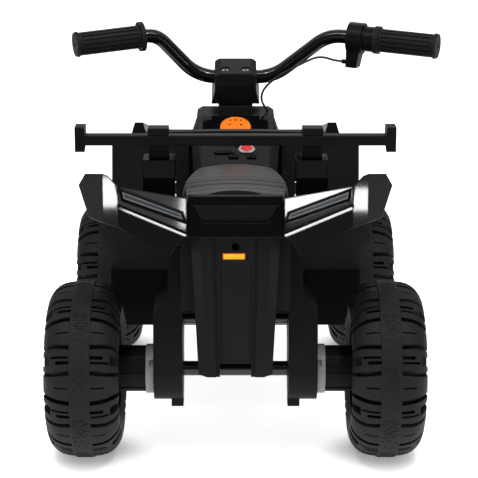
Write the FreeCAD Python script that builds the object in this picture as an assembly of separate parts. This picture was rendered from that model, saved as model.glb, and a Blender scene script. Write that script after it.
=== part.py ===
import FreeCAD, Part
import math
import os

V = FreeCAD.Vector
ORIGIN = V(0, 0, 0)
X_AXIS = V(1, 0, 0)
Y_AXIS = V(0, 1, 0)
Z_AXIS = V(0, 0, 1)

# Frame: X to the rider's right, Y forward, Z up, origin on the ground under the middle of the vehicle.
# All lengths are in millimetres, angles in degrees. A pair of shares is (across, up) or (along, up).
wheelbase = 510.0
rear_axle_y = -262.0
track = 424.0
tyre_diameter = 252.0
overrun = 6.0
running_gap = 0.08
parallel_tolerance = 1e-6
shell_tolerance = 1e-3
face_gap = 0.5
fit_gap = 0.2
soft_gap = 0.3

# Tyres: a repeat of the tread is a slotted lug, a groove, a smooth block and a groove
tyre_width = 104.0
rim_share = 0.5952
band_width = 28.0
band_rise = 2.0
tread_depth = 4.5
block_drop = 1.5
slot_depth = 4.0
tread_repeats = 10
tread_phase = 6.0
tread_shares = ((0.165, "lug"), (0.045, "slot"), (0.165, "lug"), (0.045, "groove"), (0.535, "block"),
                (0.045, "groove"))
shoulder_shares = ((0.27, 1.0), (0.62, 0.972), (0.86, 0.90), (1.0, 0.775))
sidewall_shares = (0.94, 0.68)
bead_share = 0.865
slot_shares = (0.36, 0.60)

# Rims and hubs
rim_width = 84.0
rim_wall = 5.0
disc_offset = 10.0
disc_thickness = 7.0
cap_rise = 12.0
cap_share = 0.7
axle_end_gap = 2.0
rear_hub_diameter = 64.0
front_hub_diameter = 48.0
hub_rib_count = 8
hub_rib_width = 5.0
hub_rib_height = 1.6
window_count = 6
window_rim_margin = 5.0
window_hub_margin = 5.0
window_corner = 4.0
window_angle_shares = (0.26, 0.34)

# Rear drive: axle, gearbox casings, motors and light drive rings
axle_diameter = 12.0
sleeve_diameter = 21.0
cross_tube_diameter = 15.0
cross_tube_z = 200.0
casing_width = 41.0
casing_radius = 43.5
casing_neck = 20.0
casing_shoulder_z = 217.0
casing_neck_z = 244.0
casing_top_depth = 44.0
casing_foot_width = 17.0
casing_foot_depth = 26.0
casing_foot_height = 9.0
motor_y = -186.0
motor_z = 214.0
motor_diameter = 37.0
motor_length = 50.0
motor_boss_diameter = 14.0
motor_boss_length = 5.0
motor_pad_radius = 27.0
web_low_share = 0.5
web_pad_share = 0.9
ring_diameter = 70.0
ring_width = 11.0
ring_notch_count = 3
ring_notch_width = 9.0
ring_notch_depth = 4.0
ring_notch_turn = 180.0

# Chassis tub: footwells, tunnel, battery box and nose plates
tub_wall = 4.0
tub_half = 186.0
footboard_z = 150.0
well_rear_y = -110.0
well_front_y = 66.0
crease_z = 235.0
arch_top_y = -182.0
arch_top_z = 318.0
shield_top_y = 76.0
shield_top_z = 260.0
tunnel_half = 60.0
tunnel_top_z = 260.0
box_half = 74.0
box_rear_y = -362.0
box_bottom_z = 240.0
box_top_z = 345.0
tread_rib_count = 7
tread_rib_width = 5.0
tread_rib_height = 2.0
tread_rib_margin = 16.0
nose_half = 58.0
nose_front_y = 292.0
nose_bottom_z = 216.0
bracket_depth = 34.0

# Inner pieces in the battery box and tunnel
battery_width = 96.0
battery_length = 151.0
battery_height = 65.0
battery_end_gap = 15.0
terminal_diameter = 8.0
terminal_height = 7.0
terminal_spacing_share = 0.6
control_width = 80.0
control_length = 70.0
control_height = 34.0
control_rib_height = 3.0

# Steering: stem, arm, bushes, beam, knuckles and tie rods
rake = 18.0
clamp_y = 118.0
clamp_z = 488.0
stem_diameter = 16.0
stem_length = 350.0
arm_drop = 303.0
arm_reach = 40.0
arm_thickness = 8.0
arm_width = 18.0
pivot_diameter = 8.0
eye_diameter = 19.0
eye_thickness = 8.0
eye_gap = 1.5
open_pivot_gap = 1.2
tie_rod_diameter = 7.0
bush_wall = 4.0
bush_length = 20.0
upper_bush_drop = 70.0
kingpin_x = 145.0
kingpin_diameter = 12.0
sleeve_radius = 13.0
sleeve_height = 40.0
beam_rise = 30.0
beam_height = 24.0
beam_depth = 24.0
beam_block_half = 22.0
beam_block_rear_y = 200.0
collar_diameter = 22.0
stub_collar_diameter = 20.0

# Handlebar, clamp, grips and throttle
bar_diameter = 22.0
bar_straight_half = 60.0
bar_top_x = 146.0
bar_top_y = 95.0
bar_top_z = 557.0
bar_left_top_x = -124.0
bar_left_top_y = 98.0
bar_left_x = -244.0
bar_left_y = 57.0
bar_right_x = 306.0
bar_right_y = 36.0
bar_end_z = 547.0
bar_bend_radius = 60.0
bar_left_bend_radius = 36.0
bar_root_radius = 66.0
clamp_half = 33.0
clamp_depth_half = 29.0
clamp_up = 21.0
clamp_down = 10.0
stem_top_drop = 13.0
cap_bevel = 9.0
clamp_split = 0.6
clamp_edge = 4.0
skirt_half = 38.0
skirt_depth_half = 34.0
skirt_down = 31.0
bolt_spacing = 32.0
bolt_diameter = 6.0
bolt_head_diameter = 11.0
bolt_head_height = 6.0
bolt_socket_diameter = 5.0
bolt_socket_depth = 3.0
bolt_reach = 32.0
bolt_offset = 14.8
clamp_shift = 5.0
pocket_diameter = 14.0
pocket_depth = 8.0
grip_diameter = 36.0
left_grip_length = 110.0
flange_diameter = 46.0
flange_width = 7.0
end_flange_diameter = 40.0
end_flange_width = 5.0
grip_end_wall = 4.0
grip_hole_diameter = 7.0
groove_count = 16
groove_width = 2.6
groove_depth = 1.6
groove_margin = 9.0
housing_radius = 24.0
housing_length = 24.0
housing_collar_length = 17.0
housing_collar_radius = 19.5
housing_drop = 46.0
housing_depth = 32.0
housing_neck_share = 0.72
housing_grip_gap = 0.5
twist_length = 100.0
twist_collar_diameter = 43.0
twist_collar_width = 8.0
nub_diameter = 7.0
nub_length = 9.0
cable_diameter = 3.6
cable_straight = 14.0
route_arc_share = 0.45
# The throttle cable's route from the housing's nub to the cowl, in millimetres
cable_route = ((142.0, 91.0, 522.0), (128.0, 86.0, 523.5), (115.0, 80.0, 519.5), (101.0, 78.5, 513.0),
               (87.0, 79.0, 505.5), (73.0, 80.5, 497.5), (60.0, 83.0, 488.5), (49.0, 86.5, 478.5),
               (42.0, 91.0, 467.0), (40.5, 96.0, 455.0), (45.0, 102.0, 444.0), (52.0, 108.0, 434.0),
               (60.0, 113.0, 425.0))

# Tank cover, dash and cowl
tank_wall = 4.0
tank_rear_y = -72.0
tank_mid_y = 62.0
tank_front_y = 92.0
tank_rear_half = 59.0
tank_half = 70.0
tank_top_half = 60.0
tank_rear_top_z = 374.0
tank_mid_top_z = 421.0
tank_rear_shoulder_z = 352.0
tank_mid_shoulder_z = 402.0
dash_half = 52.0
dash_start_share = 0.10
dash_end_share = 0.985
dash_thickness = 3.0
dash_corner = 10.0
media_width = 32.0
media_length = 26.0
media_rise = 2.5
media_x = -17.0
media_share = 0.36
media_corner = 4.0
media_key_count = 4
media_key_size = 4.5
media_key_rise = 1.0
media_window_width = 25.0
media_window_length = 9.0
media_window_depth = 0.8
bezel_diameter = 26.0
bezel_rise = 3.5
bezel_depth = 8.0
bezel_bore_diameter = 18.0
button_x = 17.0
button_share = 0.36
button_diameter = 17.4
button_rise = 4.5
button_stem_diameter = 10.0
rocker_width = 14.0
rocker_length = 9.0
rocker_rise = 2.4
rocker_depth = 7.0
rocker_share = 0.235
rocker_xs = (-3.0, 24.5)
rocker_pin_diameter = 3.0
rocker_gap = 0.6
pad_diameter = 48.0
pad_rise = 5.0
pad_edge = 2.5
pad_tilt = 10.0
pad_share = 0.70
cowl_half = 61.0
cowl_top_half = 52.5
cowl_front_y = 190.0
cowl_bottom_z = 330.0
cowl_wall = 4.0
cowl_rear_z = 431.0
cowl_ridge_y = 122.0
cowl_ridge_z = 440.0
cowl_fall = 24.0
cowl_neck_half = 27.0
cowl_gap = 3.0

# Seat, seat base, tail box and tail cover
seat_rear_y = -376.0
seat_front_y = -76.0
seat_bottom_z = 352.0
base_half = 62.0
base_front_half = 50.0
base_inset = 8.0
seat_rear_half = 68.0
seat_wide_half = 73.0
seat_front_half = 55.0
seat_rear_top_z = 405.0
seat_mid_top_z = 402.0
seat_front_top_z = 386.0
seat_crown = 6.0
seat_draw_in = 4.0
seat_channel_depth = 1.4
seat_channel_count = 9
seat_wide_share = 0.34
seat_roll_share = 0.05
seat_start_share = 0.075
seat_taper_power = 1.05
seat_scoop_half = 48.0
seat_scoop_depth = 20.0
channel_shares = ((0.0, 0), (0.44, 0), (0.5, 1), (0.56, 0))
tail_half = 63.0
tail_low_z = 350.0
tail_top_z = 404.0
tail_rear_y = -396.0
tail_front_y = -377.0
tail_lean = 8.0
recess_shares = ((-0.92, 0.76), (0.92, 0.76), (0.74, 0.40), (-0.74, 0.40))
recess_depth = 6.0
recess_lean_share = 0.7
slot_height = 6.0
slot_cut_depth = 11.0
slot_half_share = 0.70
slot_z_share = 0.35
cover_top_half = 60.0
cover_low_half = 50.0
cover_low_z = 154.0
cover_rear_y = -388.0
cover_depth = 26.0
cover_wall = 4.0
cover_round = 12.0
cover_notch_half = 21.0
cover_notch_height = 20.0
cover_groove_half = 26.0
cover_groove_width = 5.0
cover_groove_depth = 2.0
strip_half = 20.0
strip_top_z = 318.0
strip_rise = 2.5
strip_taper = 1.5
socket_z = 335.5
socket_diameter = 17.0
socket_bore_diameter = 9.6
socket_depth = 16.0
socket_floor = 5.0
cover_hole_diameter = 10.4

# Rear fenders with tail lamps and rack sockets
fender_inner_x = 64.0
fender_width = 151.0
fender_low_z = 322.0
fender_height = 103.0
fender_rear_y = -400.0
fender_length = 268.0
fender_wall = 4.0
fender_fall = 16.0
fender_rear_shares = ((0.0, 0.30), (0.0, 0.80), (0.615, 0.982), (0.663, 1.062), (0.705, 1.128),
                      (0.755, 1.16), (0.93, 1.19), (1.0, 1.045), (0.90, 0.592), (0.77, 0.509),
                      (0.615, 0.432), (0.155, 0.028), (0.067, 0.232))
fender_plan_shares = ((0.0, 0.0), (0.615, 0.15), (0.755, 0.215), (1.0, 0.40), (1.0, 1.0), (0.0, 1.0))
groove_shares = ((-0.03, 0.324), (0.0, 0.338), (0.615, 0.622))
groove_rise = 3.0
groove_fall = 6.0
groove_cut = 5.0
deck_lean_share = 0.105
lamp_shares = ((0.034, 0.508), (0.05, 0.579), (0.574, 0.794), (0.563, 0.707))
lamp_depth = 7.0
lamp_inset = 1.2
lamp_frame = 4.0
post_x = 103.0
post_width = 27.0
post_depth = 30.0
post_front_gap = 1.0
sleeve_wall = 8.0
sleeve_top_z = 441.0
sleeve_floor_z = 398.0
cap_height = 9.5
cap_slope_drop = 14.0
cap_overlap = 5.0

# Rear rack
rack_y = -333.5
rack_z = 470.0
rack_half = 214.0
rack_bar_height = 14.0
rack_bar_depth = 21.0
rack_end_width = 13.0
rack_end_depth = 31.0
rack_end_low_z = 453.0
rack_end_high_z = 488.0
rack_bar_edge = 2.5
cross_bar_height = 13.0
cross_bar_depth = 16.0
cross_bar_bow = 8.0

# Front body with headlamps, rack and bumper
front_half = 197.0
front_nose_half = 92.0
front_rear_y = 76.0
front_crest_y = 106.0
front_end_y = 396.0
front_crest_z = 396.0
front_low_z = 260.0
front_nose_top_z = 338.0
front_wall = 4.0
front_shoulder_drop = 16.0
front_shoulder_share = 0.93
front_bend_share = 0.55
down_facing_share = -0.9
notch_half = 74.0
headlamp_shares = ((0.30, 0.86), (0.92, 0.62), (0.86, 0.28), (0.36, 0.46))
headlamp_depth = 12.0
headlamp_inset = 2.0
rail_x = 154.0
rail_width = 25.0
rail_top_width = 13.0
rail_height = 20.0
rail_length_share = 0.62
rack_tie_count = 3
rack_tie_width = 14.0
rack_tie_height = 9.0
bumper_half = 88.0
bumper_y = 372.0
bumper_tube = 20.0
bumper_top_z = 262.0
bumper_low_z = 176.0
bumper_plate = 6.0
bumper_slot_count = 4
bumper_slot_height = 8.0
bumper_arm_half = 46.0
bumper_arm_height = 26.0

# Places worked out from the driving dimensions
front_axle_y = rear_axle_y + wheelbase
axle_z = tyre_diameter / 2
beam_z = axle_z + beam_rise
tyre_radius = tyre_diameter / 2
wheel_x = track / 2
rim_radius = tyre_diameter * rim_share / 2
axle_radius = axle_diameter / 2
casing_outer_x = box_half + casing_width
ring_inner_x = casing_outer_x + face_gap
hub_inner_x = ring_inner_x + ring_width
axle_end = disc_offset + disc_thickness
rake_sin = math.sin(math.radians(rake))
rake_cos = math.cos(math.radians(rake))
steering_place = FreeCAD.Placement(V(0, clamp_y, clamp_z), FreeCAD.Rotation(X_AXIS, rake))


def wire(points):
    return Part.makePolygon([*points, points[0]])


def prism_x(outline, x0, x1):
    return Part.Face(wire([V(x0, y, z) for y, z in outline])).extrude(V(x1 - x0, 0, 0))


def prism_y(outline, y0, y1):
    return Part.Face(wire([V(x, y0, z) for x, z in outline])).extrude(V(0, y1 - y0, 0))


def prism_z(outline, z0, z1):
    return Part.Face(wire([V(x, y, z0) for x, y in outline])).extrude(V(0, 0, z1 - z0))


def block(x0, x1, y0, y1, z0, z1):
    return Part.makeBox(x1 - x0, y1 - y0, z1 - z0, V(x0, y0, z0))


def bar_along_x(radius, x0, x1, y, z):
    return Part.makeCylinder(radius, x1 - x0, V(x0, y, z), X_AXIS)


def rod(radius, start, end):
    return Part.makeCylinder(radius, (end - start).Length, start, end - start)


def loft(sections):
    return Part.makeLoft([wire(points) for points in sections], True, True)


def spread(shares, start_a, size_a, start_b, size_b):
    return [(start_a + a * size_a, start_b + b * size_b) for a, b in shares]


def mirrored(shape):
    return shape.mirror(ORIGIN, X_AXIS)


def edges_along(shape, direction):
    straight = [edge for edge in shape.Edges if isinstance(edge.Curve, Part.Line)]
    across = [edge.tangentAt(edge.FirstParameter).cross(direction).Length for edge in straight]
    return [edge for edge, length in zip(straight, across) if length < parallel_tolerance]


def rounded(shape, direction, radius):
    return shape.makeFillet(radius, edges_along(shape, direction))


def hollowed(solid, wall, is_open):
    faces = [face for face in solid.Faces if is_open(face.normalAt(0, 0))]
    return solid.makeThickness(faces, -wall, shell_tolerance)


def around_x(shape, angle):
    turned = shape.copy()
    turned.rotate(ORIGIN, X_AXIS, angle)
    return turned


def moved(shape, x, y, z):
    return shape.translated(V(x, y, z))


def steered(shape):
    placed = shape.copy()
    placed.Placement = steering_place.multiply(placed.Placement)
    return placed


# Wheels, built about the X axis with +X pointing outwards
def crown_radius(share):
    for (near, near_r), (far, far_r) in zip(shoulder_shares, shoulder_shares[1:]):
        if near <= share <= far:
            return tyre_radius * (near_r + (far_r - near_r) * (share - near) / (far - near))


def tread_outline(kind):
    drop = {"groove": tread_depth, "block": block_drop}.get(kind, 0)
    half = tyre_width / 2
    reach = half - drop
    edge = shoulder_shares[0][0]
    right = [(band_width / 2, tyre_radius), (band_width / 2, crown_radius(edge) - band_rise - drop)]
    if kind == "slot":
        start, end = slot_shares
        right.append((start * reach, crown_radius(start) - band_rise))
        right.append((start * reach, crown_radius(start) - band_rise - slot_depth))
        right.append((end * reach, crown_radius(end) - band_rise - slot_depth))
        right.append((end * reach, crown_radius(end) - band_rise))
    right += [(share * reach, tyre_radius * radius - band_rise - drop) for share,
              radius in shoulder_shares[1:]]
    right.append((sidewall_shares[0] * half, sidewall_shares[1] * tyre_radius))
    right.append((bead_share * half, rim_radius))
    left = [(-x, r) for x, r in reversed(right)]
    return [V(x, 0, r) for x, r in right + left]


def tyre():
    turn = 360 / tread_repeats
    sectors = []
    start = 0
    for share, kind in tread_shares:
        sector = Part.Face(wire(tread_outline(kind))).revolve(ORIGIN, X_AXIS, share * turn)
        sectors.append(around_x(sector, start))
        start += share * turn
    repeat = sectors[0].multiFuse(sectors[1:]).removeSplitter()
    repeats = [around_x(repeat, turn * count + tread_phase) for count in range(tread_repeats)]
    return repeats[0].multiFuse(repeats[1:]).removeSplitter()


def rim(hub_diameter, inner_reach, ribbed):
    hub = hub_diameter / 2
    outer = rim_radius - fit_gap
    inner = outer - rim_wall
    bore = axle_radius + running_gap
    half = rim_width / 2
    disc_out = disc_offset + disc_thickness
    outline = [(-half, inner), (-half, outer), (half, outer), (half, inner), (disc_out, inner),
               (disc_out, hub),
               (disc_out + cap_rise, hub * cap_share), (disc_out + cap_rise, 0), (axle_end + axle_end_gap, 0),
               (axle_end + axle_end_gap, bore), (-inner_reach, bore), (-inner_reach, hub), (disc_offset, hub),
               (disc_offset, inner)]
    shape = Part.Face(wire([V(x, 0, r) for x, r in outline])).revolve(ORIGIN, X_AXIS, 360)
    step = 360 / window_count
    near = hub + window_hub_margin
    far = inner - window_rim_margin
    corners = [(near, -window_angle_shares[0]), (far, -window_angle_shares[1]), (far, window_angle_shares[1]),
               (near, window_angle_shares[0])]
    angles = [(radius, math.radians(step * share)) for radius, share in corners]
    outline = [(radius * math.sin(angle), radius * math.cos(angle)) for radius, angle in angles]
    window = prism_x(outline, disc_offset - overrun, disc_out + overrun)
    window = rounded(window, X_AXIS, window_corner)
    shape = shape.cut([around_x(window, step * count) for count in range(window_count)])
    if ribbed:
        rib = block(-inner_reach, disc_offset, -hub_rib_width / 2, hub_rib_width / 2, hub - hub_rib_height,
                    hub + hub_rib_height)
        turns = [360 * count / hub_rib_count for count in range(hub_rib_count)]
        shape = shape.fuse([around_x(rib, turn) for turn in turns]).removeSplitter()
    return shape


def drive_ring():
    ring = bar_along_x(ring_diameter / 2, ring_inner_x, hub_inner_x, 0, 0)
    ring = ring.cut(bar_along_x(axle_radius + soft_gap, ring_inner_x - overrun, hub_inner_x + overrun, 0, 0))
    notch = block(ring_inner_x - overrun, hub_inner_x - ring_width / 2, -ring_notch_width / 2,
                  ring_notch_width / 2, ring_diameter / 2 - ring_notch_depth, ring_diameter / 2 + overrun)
    turns = [360 * count / ring_notch_count + ring_notch_turn for count in range(ring_notch_count)]
    return ring.cut([around_x(notch, turn) for turn in turns])


# Rear drive
def gearbox_casing():
    x0, x1 = box_half, casing_outer_x
    y, top_half = rear_axle_y, casing_top_depth / 2
    leg = prism_x([(y - casing_radius, axle_z), (y + casing_radius, axle_z), (y + top_half, fender_low_z),
                   (y - top_half, fender_low_z)], x0, x1)
    drum = bar_along_x(casing_radius, x0, x1, y, axle_z)
    pad = bar_along_x(motor_pad_radius, x0, x1, motor_y, motor_z)
    web = prism_x([(y, axle_z - casing_radius * web_low_share),
                   (motor_y + motor_pad_radius * web_pad_share, motor_z),
                   (motor_y, motor_z + motor_pad_radius), (y, casing_neck_z)], x0, x1)
    front = prism_y([(x0, axle_z - casing_radius), (x1, axle_z - casing_radius), (x1, casing_shoulder_z),
                     (x0 + casing_neck, casing_neck_z), (x0 + casing_neck, fender_low_z), (x0, fender_low_z)],
                    y - casing_radius - overrun, motor_y + motor_pad_radius + overrun)
    shape = leg.fuse([drum, pad, web]).common(front)
    foot = block(x0, x0 + casing_foot_width, y - casing_foot_depth / 2, y + casing_foot_depth / 2,
                 axle_z - casing_radius - casing_foot_height, axle_z - casing_radius / 2)
    shape = shape.fuse(foot)
    return shape.cut(bar_along_x(axle_radius + fit_gap, x0 - overrun, x1 + overrun, y,
                                 axle_z)).removeSplitter()


def drive_motor():
    x1 = box_half
    x0 = x1 - motor_length
    can = bar_along_x(motor_diameter / 2, x0, x1, motor_y, motor_z)
    can = can.makeFillet(motor_boss_length / 2,
                         [edge for edge in can.Edges if edge.CenterOfMass.x < x0 + fit_gap])
    boss = bar_along_x(motor_boss_diameter / 2, x0 - motor_boss_length, x0 + overrun, motor_y, motor_z)
    return can.fuse(boss)


# Chassis tub
def chassis_tub():
    lean = tub_wall / math.cos(math.atan2(well_rear_y - arch_top_y, arch_top_z - crease_z))
    outline = [(arch_top_y, arch_top_z), (well_rear_y, crease_z), (well_rear_y, footboard_z),
               (well_front_y, footboard_z), (shield_top_y, shield_top_z), (shield_top_y + tub_wall,
                       shield_top_z),
               (well_front_y + tub_wall, footboard_z - tub_wall), (well_rear_y - tub_wall,
                                                                   footboard_z - tub_wall),
               (well_rear_y - tub_wall, crease_z - tub_wall / 2), (arch_top_y - lean, arch_top_z)]
    sheet = prism_x(outline, -tub_half, tub_half)
    sheet = sheet.cut(block(-box_half, box_half, arch_top_y - lean - overrun, well_rear_y - tub_wall,
                            box_bottom_z,
                            arch_top_z + overrun))
    pieces = []
    for side in (-1, 1):
        x0, x1 = sorted((side * (tunnel_half - tub_wall), side * tunnel_half))
        pieces.append(block(x0, x1, well_rear_y - tub_wall, well_front_y + tub_wall, footboard_z - tub_wall,
                            tunnel_top_z))
    box = block(-box_half, box_half, box_rear_y, well_rear_y, box_bottom_z, box_top_z)
    box = box.cut(block(tub_wall - box_half, box_half - tub_wall, box_rear_y + tub_wall,
                        well_rear_y - tub_wall,
                        box_bottom_z + tub_wall, box_top_z + overrun))
    pieces.append(box)
    pieces += nose_plates()
    step = (well_front_y - well_rear_y - 2 * tread_rib_margin) / (tread_rib_count - 1)
    for side in (-1, 1):
        x0, x1 = sorted((side * (tunnel_half + tread_rib_margin), side * (tub_half - tread_rib_margin)))
        for count in range(tread_rib_count):
            y = well_rear_y + tread_rib_margin + step * count
            pieces.append(block(x0, x1, y - tread_rib_width / 2, y + tread_rib_width / 2,
                                footboard_z - tub_wall / 2,
                                footboard_z + tread_rib_height))
    return sheet.fuse(pieces).removeSplitter()


def nose_plates():
    roof = front_roof_z
    beam_top = beam_z + beam_height / 2
    start = tank_front_y + face_gap
    bracket_y0 = front_axle_y - bracket_depth / 2
    bracket_y1 = front_axle_y + bracket_depth / 2
    outline = [(well_front_y, footboard_z - tub_wall), (well_front_y + tub_wall, footboard_z - tub_wall),
               (shield_top_y + tub_wall, nose_bottom_z), (bracket_y0, nose_bottom_z), (bracket_y0, beam_top),
               (bracket_y1, beam_top), (bracket_y1, nose_bottom_z), (nose_front_y, nose_bottom_z),
               (nose_front_y, roof(nose_front_y)), (cowl_front_y, roof(cowl_front_y)),
               (cowl_front_y, cowl_bottom_z), (start, cowl_bottom_z), (start, tunnel_top_z),
               (well_front_y, tunnel_top_z)]
    plates = []
    for side in (-1, 1):
        x0, x1 = sorted((side * (nose_half - tub_wall), side * nose_half))
        plates.append(prism_x(outline, x0, x1))
    plates.append(block(-nose_half, nose_half, nose_front_y - tub_wall, nose_front_y, nose_bottom_z,
                        roof(nose_front_y)))
    return plates


def front_roof_z(y):
    rise = front_crest_z - front_nose_top_z
    share = (front_end_y - y) / (front_end_y - front_crest_y)
    return front_nose_top_z + rise * share - front_wall / math.cos(math.atan2(rise,
            front_end_y - front_crest_y))


# Inner pieces
def battery():
    y0 = box_rear_y + tub_wall + battery_end_gap
    z0 = box_bottom_z + tub_wall
    case = block(-battery_width / 2, battery_width / 2, y0, y0 + battery_length, z0, z0 + battery_height)
    case = rounded(case, Z_AXIS, terminal_diameter / 2)
    reach = battery_width / 2 * terminal_spacing_share
    places = [V(x, y0 + terminal_diameter * 2, z0 + battery_height) for x in (-reach, reach)]
    posts = [Part.makeCylinder(terminal_diameter / 2, terminal_height, place) for place in places]
    return case.fuse(posts)


def control_box():
    y0 = well_rear_y + control_length / 4
    case = block(-control_width / 2, control_width / 2, y0, y0 + control_length, footboard_z,
                 footboard_z + control_height)
    case = rounded(case, Z_AXIS, control_rib_height)
    lid = block(-control_width / 2 + control_rib_height, control_width / 2 - control_rib_height,
                y0 + control_rib_height, y0 + control_length - control_rib_height,
                footboard_z + control_height / 2, footboard_z + control_height + control_rib_height)
    return case.fuse(lid).removeSplitter()


# Steering
def steering_stem():
    stem = Part.makeCylinder(stem_diameter / 2, stem_length - stem_top_drop, V(0, 0, -stem_length))
    half = arm_thickness / 2
    arm = block(-arm_width / 2, arm_width / 2, -arm_reach, 0, -arm_drop - half, -arm_drop + half)
    arm = arm.fuse([Part.makeCylinder(arm_width / 2, arm_thickness, V(0, y, -arm_drop - half))
                    for y in (0, -arm_reach)])
    pin_height = arm_thickness + 2 * eye_thickness + 4 * eye_gap
    pin = Part.makeCylinder(pivot_diameter / 2, pin_height, V(0, -arm_reach, -arm_drop - half))
    return steered(stem.fuse([arm, pin]).removeSplitter())


def bush(drop):
    outer = Part.makeCylinder(stem_diameter / 2 + bush_wall, bush_length, V(0, 0, -drop - bush_length))
    return outer.cut(Part.makeCylinder(stem_diameter / 2 + running_gap, bush_length + 2 * overrun,
                                       V(0, 0, -drop - bush_length - overrun)))


def lower_bush_drop():
    return (clamp_z - beam_z) / rake_cos - bush_length / 2


def stem_bushes():
    return Part.makeCompound([steered(bush(drop)) for drop in (upper_bush_drop, lower_bush_drop())])


def bush_seat(drop):
    return steered(Part.makeCylinder(stem_diameter / 2 + bush_wall, bush_length,
                                     V(0, 0, -drop - bush_length)))


def stem_passage(drop, reach):
    radius = stem_diameter / 2 + bush_wall / 2
    return steered(Part.makeCylinder(radius, reach, V(0, 0, -drop - reach)))


def front_axle_beam():
    z0, z1 = beam_z - beam_height / 2, beam_z + beam_height / 2
    y0, y1 = front_axle_y - beam_depth / 2, front_axle_y + beam_depth / 2
    beam = block(-kingpin_x, kingpin_x, y0, y1, z0, z1)
    middle = block(-beam_block_half, beam_block_half, beam_block_rear_y, y1, z0, z1)
    middle = rounded(middle, Z_AXIS, beam_block_half / 4)
    low = beam_z - sleeve_height / 2
    sleeves = [Part.makeCylinder(sleeve_radius, sleeve_height, V(x, front_axle_y, low)) for x in (-kingpin_x,
            kingpin_x)]
    bores = [Part.makeCylinder(kingpin_diameter / 2 + running_gap, sleeve_height + 2 * overrun,
                               V(x, front_axle_y, low - overrun)) for x in (-kingpin_x, kingpin_x)]
    shape = beam.fuse([middle, *sleeves]).cut(bores)
    drop = lower_bush_drop()
    return shape.cut([bush_seat(drop), stem_passage(drop - bush_length, 3 * bush_length)]).removeSplitter()


def knuckle():
    low = beam_z - sleeve_height / 2
    arm_z = beam_z + sleeve_height / 2 + face_gap
    x, y = kingpin_x, front_axle_y
    pin = Part.makeCylinder(kingpin_diameter / 2, arm_z + arm_thickness - axle_z, V(x, y, axle_z))
    collar = Part.makeCylinder(collar_diameter / 2, low - face_gap - axle_z + axle_radius,
                               V(x, y, axle_z - axle_radius))
    stub = bar_along_x(axle_radius, x, wheel_x + axle_end, y, axle_z)
    shoulder = bar_along_x(stub_collar_diameter / 2, x, front_hub_inner_x - face_gap, y, axle_z)
    arm = block(x - arm_width / 2, x + arm_width / 2, y - arm_reach, y, arm_z, arm_z + arm_thickness)
    ends = [V(x, y - reach, arm_z) for reach in (0, arm_reach)]
    rounds = [Part.makeCylinder(arm_width / 2, arm_thickness, end) for end in ends]
    pivot = Part.makeCylinder(pivot_diameter / 2, arm_thickness + eye_thickness + 2 * open_pivot_gap,
                              V(x, y - arm_reach, arm_z))
    return pin.fuse([collar, stub, shoulder, arm, *rounds, pivot]).removeSplitter()


def tie_rod(side, level):
    lift = -arm_drop + arm_thickness / 2 + eye_gap + level * (eye_thickness + eye_gap)
    near_low = steering_place.multVec(V(0, -arm_reach, lift))
    up = V(0, -rake_sin, rake_cos)
    arm_top = beam_z + sleeve_height / 2 + face_gap + arm_thickness
    far_low = V(side * kingpin_x, front_axle_y - arm_reach, arm_top + open_pivot_gap / 2)
    near_eye = Part.makeCylinder(eye_diameter / 2, eye_thickness, near_low, up)
    far_eye = Part.makeCylinder(eye_diameter / 2, eye_thickness, far_low, Z_AXIS)
    near = near_low + up * (eye_thickness / 2)
    far = far_low + Z_AXIS * (eye_thickness / 2)
    along = (far - near).normalize()
    start = near + along * (eye_diameter / 4)
    end = far - along * (eye_diameter / 4)
    shape = rod(tie_rod_diameter / 2, start, end)
    trim = eye_thickness * 2
    keep = [Part.makeCylinder(eye_diameter / 2, trim, near_low - up * trim, up),
            Part.makeCylinder(eye_diameter / 2, trim, near_low + up * eye_thickness, up),
            Part.makeCylinder(eye_diameter / 2, trim, far_low - Z_AXIS * trim, Z_AXIS),
            Part.makeCylinder(eye_diameter / 2, trim, far_low + Z_AXIS * eye_thickness, Z_AXIS)]
    shape = shape.cut(keep).fuse([near_eye, far_eye])
    bores = [Part.makeCylinder(pivot_diameter / 2 + running_gap, eye_thickness + 2 * overrun,
                               near_low - up * overrun,
                               up),
             Part.makeCylinder(pivot_diameter / 2 + open_pivot_gap, eye_thickness + 2 * overrun,
                               far_low - Z_AXIS * overrun, Z_AXIS)]
    return shape.cut(bores).removeSplitter()


# Handlebar and clamp
def bar_points():
    return [V(bar_left_x, bar_left_y, bar_end_z), V(bar_left_top_x, bar_left_top_y, bar_top_z),
            V(-bar_straight_half, clamp_y, clamp_z), V(bar_straight_half, clamp_y, clamp_z),
            V(bar_top_x, bar_top_y, bar_top_z), V(bar_right_x, bar_right_y, bar_end_z)]


def smooth_path(points, radii):
    edges = []
    here = points[0]
    for before, corner, after, radius in zip(points, points[1:], points[2:], radii):
        back = (before - corner).normalize()
        on = (after - corner).normalize()
        half = back.getAngle(on) / 2
        reach = radius / math.tan(half)
        start, end = corner + back * reach, corner + on * reach
        middle = (back + on).normalize()
        apex = corner + middle * (radius / math.sin(half) - radius)
        edges += [Part.LineSegment(here, start).toShape(), Part.Arc(start, apex, end).toShape()]
        here = end
    edges.append(Part.LineSegment(here, points[-1]).toShape())
    return Part.Wire(edges)


def swept(path, radius):
    start = path.Edges[0].Vertexes[0].Point
    along = path.Edges[0].tangentAt(path.Edges[0].FirstParameter)
    ring = Part.Wire([Part.Circle(start, along, radius).toShape()])
    return path.makePipeShell([ring], True, False)


def handlebar():
    radii = [bar_left_bend_radius, bar_root_radius, bar_root_radius, bar_bend_radius]
    return swept(smooth_path(bar_points(), radii), bar_diameter / 2)


def clamp_blank(low, high):
    shape = block(-clamp_half, clamp_half, -clamp_depth_half - clamp_shift, clamp_depth_half - clamp_shift,
                  low, high)
    return rounded(shape, Z_AXIS, clamp_edge)


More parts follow.
